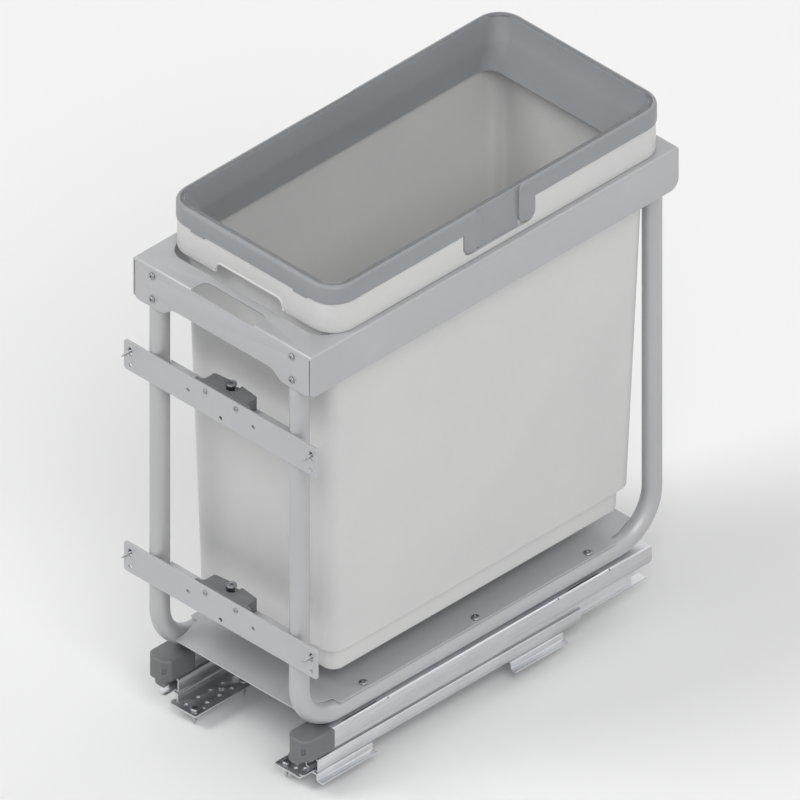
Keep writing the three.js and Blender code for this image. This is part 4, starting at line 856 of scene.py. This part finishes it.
def screw_mesh(name, head, height, shank, length, point, recess, pitch=0.0):
    """A screw along +Z: a domed head on the plane Z = 0, and a plain or threaded shank below it.

    head and shank are diameters, point is the length of the tapered end, and pitch 0 leaves out the thread.
    """
    sides = 32
    neck = shank / 2 * 0.98
    outline = [(0, 0), (neck, -0.4), (neck, 0), (head / 2 - 0.15, 0), (head / 2, 0.15)]
    outline.append((head / 2, height * 0.4))
    for turn in [math.radians(15 * i) for i in range(1, 7)]:
        outline.append((head / 2 * (0.2 + 0.8 * math.cos(turn)), height * (0.4 + 0.6 * math.sin(turn))))
    outline.append((0, height))
    top = revolved(f"{name}_head", outline, sides)
    depth = height * 0.62
    if recess == "hex":
        corners = circle(0, 0, head * 0.2, 6)
        socket = skin("socket", [[(x, y, z) for x, y in corners] for z in (height - depth, height + 1)])
        recesses = [("DIFFERENCE", socket)]
    else:
        recesses = cross_cutters("recess", head * 0.27, head * 0.065, height - depth, height + 0.5)
    top = combined(f"{name}_head", top, *recesses)
    rows_per_turn = 8
    rows = max(6, int(length / (pitch or length) * rows_per_turn))
    rings = []
    for i in range(rows + 1):
        z = -length + (length - 0.2) * i / rows
        taper = min(1.0, 0.04 + (z + length) / point)
        ring = []
        for j in range(sides):
            turn = j / sides
            radius = shank / 2
            if pitch:
                phase = (z / pitch - turn) % 1.0
                ridge = max(0.0, 1 - abs(phase - 0.5) * 4.2)
                radius = shank / 2 * (0.72 + 0.28 * ridge)
            around = 2 * math.pi * turn
            ring.append((radius * taper * math.cos(around), radius * taper * math.sin(around), z))
        rings.append(ring)
    shaft = skin(f"{name}_shank", rings)
    work = bmesh.new()
    work.from_mesh(top)
    work.from_mesh(shaft)
    mesh = bpy.data.meshes.new(name)
    work.to_mesh(mesh)
    work.free()
    bpy.data.meshes.remove(top)
    bpy.data.meshes.remove(shaft)
    return mesh


SCREWS = {
    "collar": dict(head=7.6, height=2.2, shank=3.6, length=6.5, point=1.0, recess="hex"),
    "plate": dict(head=10.0, height=2.6, shank=3.6, length=7.0, point=1.0, recess="hex"),
    "strip": dict(head=6.0, height=1.4, shank=3.2, length=8.0, point=1.0, recess="cross"),
    "floor": dict(head=10.0, height=3.0, shank=4.2, length=19.6, point=6.0, recess="cross", pitch=2.0),
    "door": dict(head=7.4, height=2.0, shank=3.6, length=16.5, point=6.0, recess="cross", pitch=1.8),
}
SCREW_MESHES = {kind: screw_mesh(f"{kind}_screw", **sizes) for kind, sizes in SCREWS.items()}


def place_screw(node, kind):
    """Puts a screw where its node is: its axis and the side of its head follow from the node's box."""
    low, high = (corner * 1000 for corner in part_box(node))
    centre = (low + high) / 2
    height = SCREWS[kind]["height"]
    if kind in ("plate", "floor"):
        place = shift(centre.x, centre.y, high.z - height)
    elif centre.y < FRONT + 30 and kind != "door":
        place = shift(centre.x, low.y + height, centre.z) @ TO_FRONT
    else:
        place = shift(centre.x, high.y - height, centre.z) @ TO_BACK
    mesh_piece(f"{node}_turned", moved(SCREW_MESHES[kind].copy(), place), node)


for node in sorted(nodes):
    for kind in SCREWS:
        if node.endswith(f"{kind}_screw") or (kind == "plate" and "_plate_screw_" in node):
            place_screw(node, kind)


def cam_screw_mesh():
    """The upright adjusting screw: its shank, a washer at Z = 0, a neck and a head with a shallow hollow."""
    shank_and_washer = [(0, -10.6), (3.8, -10.6), (3.8, 0), (5.3, 0), (5.5, 0.2), (5.5, 0.8), (5.2, 1.1)]
    neck = [(4.3, 1.6), (3.8, 2.6), (3.8, 6.9), (4.2, 7.9)]
    head = [(5.4, 8.7), (5.7, 9.1), (5.7, 10.9), (5.4, 11.4), (4.8, 11.6), (3.6, 11.6), (3.4, 11.3),
            (0, 11.3)]
    body = revolved("cam_screw", shank_and_washer + neck + head, 40)
    return combined("cam_screw", body, *cross_cutters("cam_recess", 2.7, 0.65, 9.6, 12.1))


for level, bottom in STRIP_BOTTOMS.items():
    mesh = moved(cam_screw_mesh(), shift(0, CAM_Y, bottom + STRIP_HEIGHT - CAM_WELL_DEPTH + SEAT_GAP))
    mesh_piece(f"{level}_cam_screw_turned", mesh, f"{level}_cam_screw")


# ------------------------------------------------------------------ base plate

PLATE_HALF, PLATE_THICKNESS, PLATE_MIDDLE_Z = 112.0, 1.5, 82.75
SHOULDER_HALF, TONGUE_HALF = 99.6, 92.6
PLATE_SCREW_ROWS = (106.5, 274.0, 441.5)


def plate_side(mirror):
    """The plate's edge on one side, front to rear: a tongue beside the bend, a shoulder, the long edge."""
    tongue = [(88.7, 22.0, 0), (91.2, 22.6, 0), (TONGUE_HALF, 25.0, 0), (TONGUE_HALF, 35.0), (93.6, 40.8),
              (95.3, 45.8), (96.8, 49.8), (98.6, 53.8), (SHOULDER_HALF, 57.0)]
    long_edge = [(SHOULDER_HALF, 64.0, 4.0), (PLATE_HALF, 64.0, 4.0), (PLATE_HALF, 478.6, 4.0),
                 (SHOULDER_HALF, 478.6, 4.0)]
    rear = [(SHOULDER_HALF, 488.0), (98.6, 494.2), (96.8, 498.2), (95.3, 502.2), (93.6, 507.2),
            (TONGUE_HALF, 513.0), (TONGUE_HALF, 516.0, 0), (91.2, 518.4, 0), (88.7, 519.0, 0)]
    side = [(mirror * x, FRONT + y, *radius) for x, y, *radius in tongue + long_edge + rear]
    return side if mirror > 0 else side[::-1]


outline = softened(plate_side(1) + plate_side(-1), 1.5)
holes = [circle(side * TUBE_X, FRONT + y, 2.1) for side in (-1, 1) for y in PLATE_SCREW_ROWS]
base_plate = moved(plate("base_plate_formed", outline, holes, PLATE_THICKNESS), shift(0, 0, PLATE_MIDDLE_Z))
mesh_piece("base_plate_formed", base_plate, "base_plate", sharp=12)


# ------------------------------------------------------------------ runner caps

CAP_HALF, CAP_FRONT, CAP_REAR, CAP_TOP, CAP_BOTTOM, CAP_FACET = 16.2, 4.7, 48.6, 61.4, 35.2, 8.2
CAP_REAR_CORNER = 9
CAP_TONGUE = (-12.1, 3.1)  # its span along X, from the runner's centre


def corner_waste(x, y, radius, steps):
    """What is cut away to round a corner at (x, y) that points right and down, as drawn."""
    return ([(x + 1, y - 1), (x + 1, y + radius), (x, y + radius)]
            + arc(x - radius, y + radius, radius, 0, -90, steps) + [(x - radius, y - 1)])


def cap_outline(inset, z, half=CAP_HALF, front=CAP_FRONT, rear=CAP_REAR, facet=CAP_FACET):
    """The cap from above, with a facet at both front corners, about X = 0."""
    facet -= inset * (2 - math.sqrt(2))
    half, front, rear = half - inset, FRONT + front + inset, FRONT + rear - inset
    corners = [(facet - half, front), (half - facet, front), (half, front + facet), (half, rear, 1.5),
               (-half, rear, 1.5), (-half, front + facet)]
    return [(x, y, z) for x, y in softened(corners, 2.2)]


def cap_mesh():
    """The right cap about X = 0: a moulded hood over the rail's end, with a tongue under it."""
    low_edge, top_edge = 1.2, 2.8
    rings = [cap_outline(low_edge * inward, CAP_BOTTOM + low_edge * up) for up, inward in quarter_round(3)]
    rings += [cap_outline(top_edge * inward, CAP_TOP - top_edge * down) for inward, down in quarter_round(6)]
    rail = [cap_outline(0, z, half=12.9, front=8.2, rear=60.0, facet=5.0) for z in (CAP_BOTTOM - 1, 59.7)]
    waste = corner_waste(FRONT + CAP_REAR, CAP_BOTTOM, CAP_REAR_CORNER, 8)
    tongue = rounded_rectangle(*CAP_TONGUE, 27.2, CAP_BOTTOM + 2, 4.0, 0.1)
    floor = block("cap_floor", -12.1, 12.1, FRONT + 11.0, FRONT + 27.0, CAP_BOTTOM + 0.02, 36.7)
    steps = [
        ("DIFFERENCE", skin("rail_space", rail)),
        ("DIFFERENCE", prism_x("rear_corner", waste[::-1], -CAP_HALF - 1, CAP_HALF + 1)),
        ("UNION", floor),
        ("UNION", prism_y("cap_tongue", tongue, FRONT + 7.3, FRONT + 12.9)),
    ]
    # a window in each facet, nearer to the front, with a small arrow on its floor
    for way in (-1, 1):
        turned = Matrix.Rotation(math.radians(45 * way), 4, "Z")
        facet_x, facet_y = way * (CAP_HALF - CAP_FACET / 2), FRONT + CAP_FRONT + CAP_FACET / 2
        place = shift(facet_x, facet_y, (CAP_TOP + CAP_BOTTOM) / 2) @ turned
        x = -way * 2.6
        window = block("window", x - 2.7, x + 2.7, -1.0, 1.5, -4.2, 4.2)
        arrow = prism_y("arrow", [(x - 1.4, -1.8), (x + 1.4, -1.8), (x, 1.8)], 0.5, 1.8)
        steps += [("DIFFERENCE", moved(window, place)), ("UNION", moved(arrow, place))]
    return combined("cap", skin("cap", rings), *steps)


for side, name in ((1, "right"), (-1, "left")):
    mesh = eased(cap_mesh(), 0.3, angle=40)
    if side < 0:
        moved(mesh, MIRROR)
    mesh_piece(f"{name}_moulded_cap", moved(mesh, shift(side * TUBE_X, 0, 0)), f"{name}_end_cap", sharp=30)


# ------------------------------------------------------------------ pieces kept from the frame

EDGE_WIDTHS = {
    "collar": 0.35, "drawer_rail": 0.3, "middle_rail": 0.3, "cabinet_rail": 0.3,
    "cage": 0.4, "bracket": 0.35, "damper": 0.5, "adjuster_housing": 0.6, "crossbar": 0.4,
}
RAIL_HALF, RAIL_FRONT, RAIL_CORNER = 12.7, 8.3, 5.2
GAUGE_NOTCHES = (131.0, 385.0, 461.0)  # along the drawer rail's outer edge, from the front
CROSS_HOLE, SMALL_HOLE = (75.2, 73.9), (63.8, 37)  # in the front bracket: X, and Y from the front


def rail_cuts(side):
    """The drawer rail's front corners, its gauge notches and its upper rear corner."""
    cuts = []
    for way in (-1, 1):
        x, y = side * TUBE_X + way * RAIL_HALF, FRONT + RAIL_FRONT
        corner = [(x, y), (x, y + RAIL_CORNER), (x - way * RAIL_CORNER, y)][::way]
        cuts.append(skin("corner", [[(px, py, z) for px, py in corner] for z in (30, 62)]))
    edge = span_on(side, TUBE_X + 11.0, TUBE_X + 14.0)
    cuts += [block("gauge_notch", *edge, FRONT + y - 1.0, FRONT + y + 1.0, 57.0, 61.0) for y in GAUGE_NOTCHES]
    waste = [(251, 61), (251, 54.9), (250, 54.9)] + arc(245.5, 54.9, 4.5, 0, 90, 6) + [(245.5, 61)]
    cuts.append(prism_x("rear_corner", waste[::-1], side * TUBE_X - 30, side * TUBE_X + 30))
    return cuts


def bracket_cuts(side):
    """The front bracket's cross hole, the rounded corner of its flange and its small hole."""
    x, y = side * CROSS_HOLE[0], FRONT + CROSS_HOLE[1]
    cuts = [block("cross_hole", x - half_x, x + half_x, y - half_y, y + half_y, -1, 4)
            for half_x, half_y in ((3.7, 1.4), (1.4, 3.7))]
    waste = corner_waste(TUBE_X - 6.5, FRONT + 18.8, 5.5, 6)[::-side]
    cuts.append(skin("flange_corner", [[(side * px, py, z) for px, py in waste] for z in (-1, 4)]))
    hole = circle(side * SMALL_HOLE[0], FRONT + SMALL_HOLE[1], 1.6, 12)
    cuts.append(skin("small_hole", [[(px, py, z) for px, py in hole] for z in (-1, 4)]))
    return cuts


EXTRA_CUTS = {"drawer_rail": rail_cuts, "front_bracket": bracket_cuts}

for node in sorted(nodes):
    width = next((width for word, width in EDGE_WIDTHS.items() if node.endswith(word)), None)
    if width:
        mesh = nodes[node].data.copy()
        mesh.name = f"{node}_formed"
        side_name, _, kind = node.partition("_")
        if kind in EXTRA_CUTS:
            cuts = EXTRA_CUTS[kind](1 if side_name == "right" else -1)
            mesh = combined(f"{node}_formed", mesh, *[("DIFFERENCE", cut) for cut in cuts])
        mesh_piece(f"{node}_formed", eased(mesh, width), node, sharp=30)


# ------------------------------------------------------------------ floor, light and camera

def add_floor():
    """A pale floor just below the unit. Its reach is in metres."""
    low, _ = cad_bounds
    mesh = bpy.data.meshes.new("studio_floor")
    reach = 14.0
    z = low[2] - 0.0005
    corners = [(-reach, -reach, z), (reach, -reach, z), (reach, reach, z), (-reach, reach, z)]
    mesh.from_pydata(corners, [], [(0, 1, 2, 3)])
    material = bpy.data.materials.new("pale studio floor")
    material.use_nodes = True
    shader = material.node_tree.nodes["Principled BSDF"]
    shader.inputs["Base Color"].default_value = (0.93, 0.93, 0.93, 1.0)
    shader.inputs["Roughness"].default_value = 0.7
    mesh.materials.append(material)
    add_object("studio_floor", mesh)


def add_lamp(name, place, spread, strength):
    """A soft distant lamp that shines from a place to the unit. spread is its width in degrees."""
    light = bpy.data.lights.new(name, "SUN")
    light.angle = math.radians(spread)
    light.energy = strength
    lamp = add_object(name, light)
    lamp.location = place
    lamp.rotation_euler = (-Vector(place)).to_track_quat("-Z", "Y").to_euler()


def add_world():
    """Soft light from all round. The camera, reflections and clear things show it as white."""
    world = bpy.data.worlds.new("studio")
    world.use_nodes = True
    tree = world.node_tree
    background = tree.nodes["Background"]
    background.inputs["Color"].default_value = (1.0, 1.0, 1.0, 1.0)
    background.inputs["Strength"].default_value = 0.42
    white = tree.nodes.new("ShaderNodeBackground")
    white.inputs["Color"].default_value = (1.0, 1.0, 1.0, 1.0)
    white.inputs["Strength"].default_value = 1.0
    ray = tree.nodes.new("ShaderNodeLightPath")
    mirrored = worked_out(tree, "MAXIMUM", ray.outputs["Is Camera Ray"], ray.outputs["Is Glossy Ray"])
    seen = worked_out(tree, "MAXIMUM", mirrored, ray.outputs["Is Transmission Ray"])
    mix = linked(tree, "ShaderNodeMixShader", i0=seen, i1=background.outputs[0], i2=white.outputs[0])
    tree.links.new(mix.outputs[0], tree.nodes["World Output"].inputs["Surface"])
    bpy.context.scene.world = world


def add_camera():
    """An isometric view from the front right, as in the photo. Its sizes and places are in metres."""
    camera = bpy.data.cameras.new("view")
    camera.type = "ORTHO"
    camera.ortho_scale = 0.8429
    camera.clip_end = 20.0
    target = Vector((-0.0172, 0.0084, 0.300))
    direction = Vector((1.0, -1.0, 1.0)).normalized()
    view = add_object("view", camera)
    view.location = target + direction * 2.0
    view.rotation_euler = (-direction).to_track_quat("-Z", "Y").to_euler()
    bpy.context.scene.camera = view


add_floor()
add_lamp("key", (-1.1, -1.7, 2.4), 24.0, 1.0)
add_lamp("side", (2.0, -1.2, 2.4), 30.0, 1.1)
add_lamp("rim", (0.6, 2.2, 1.9), 36.0, 0.25)
add_world()
add_camera()
bpy.context.scene.view_settings.view_transform = "Standard"
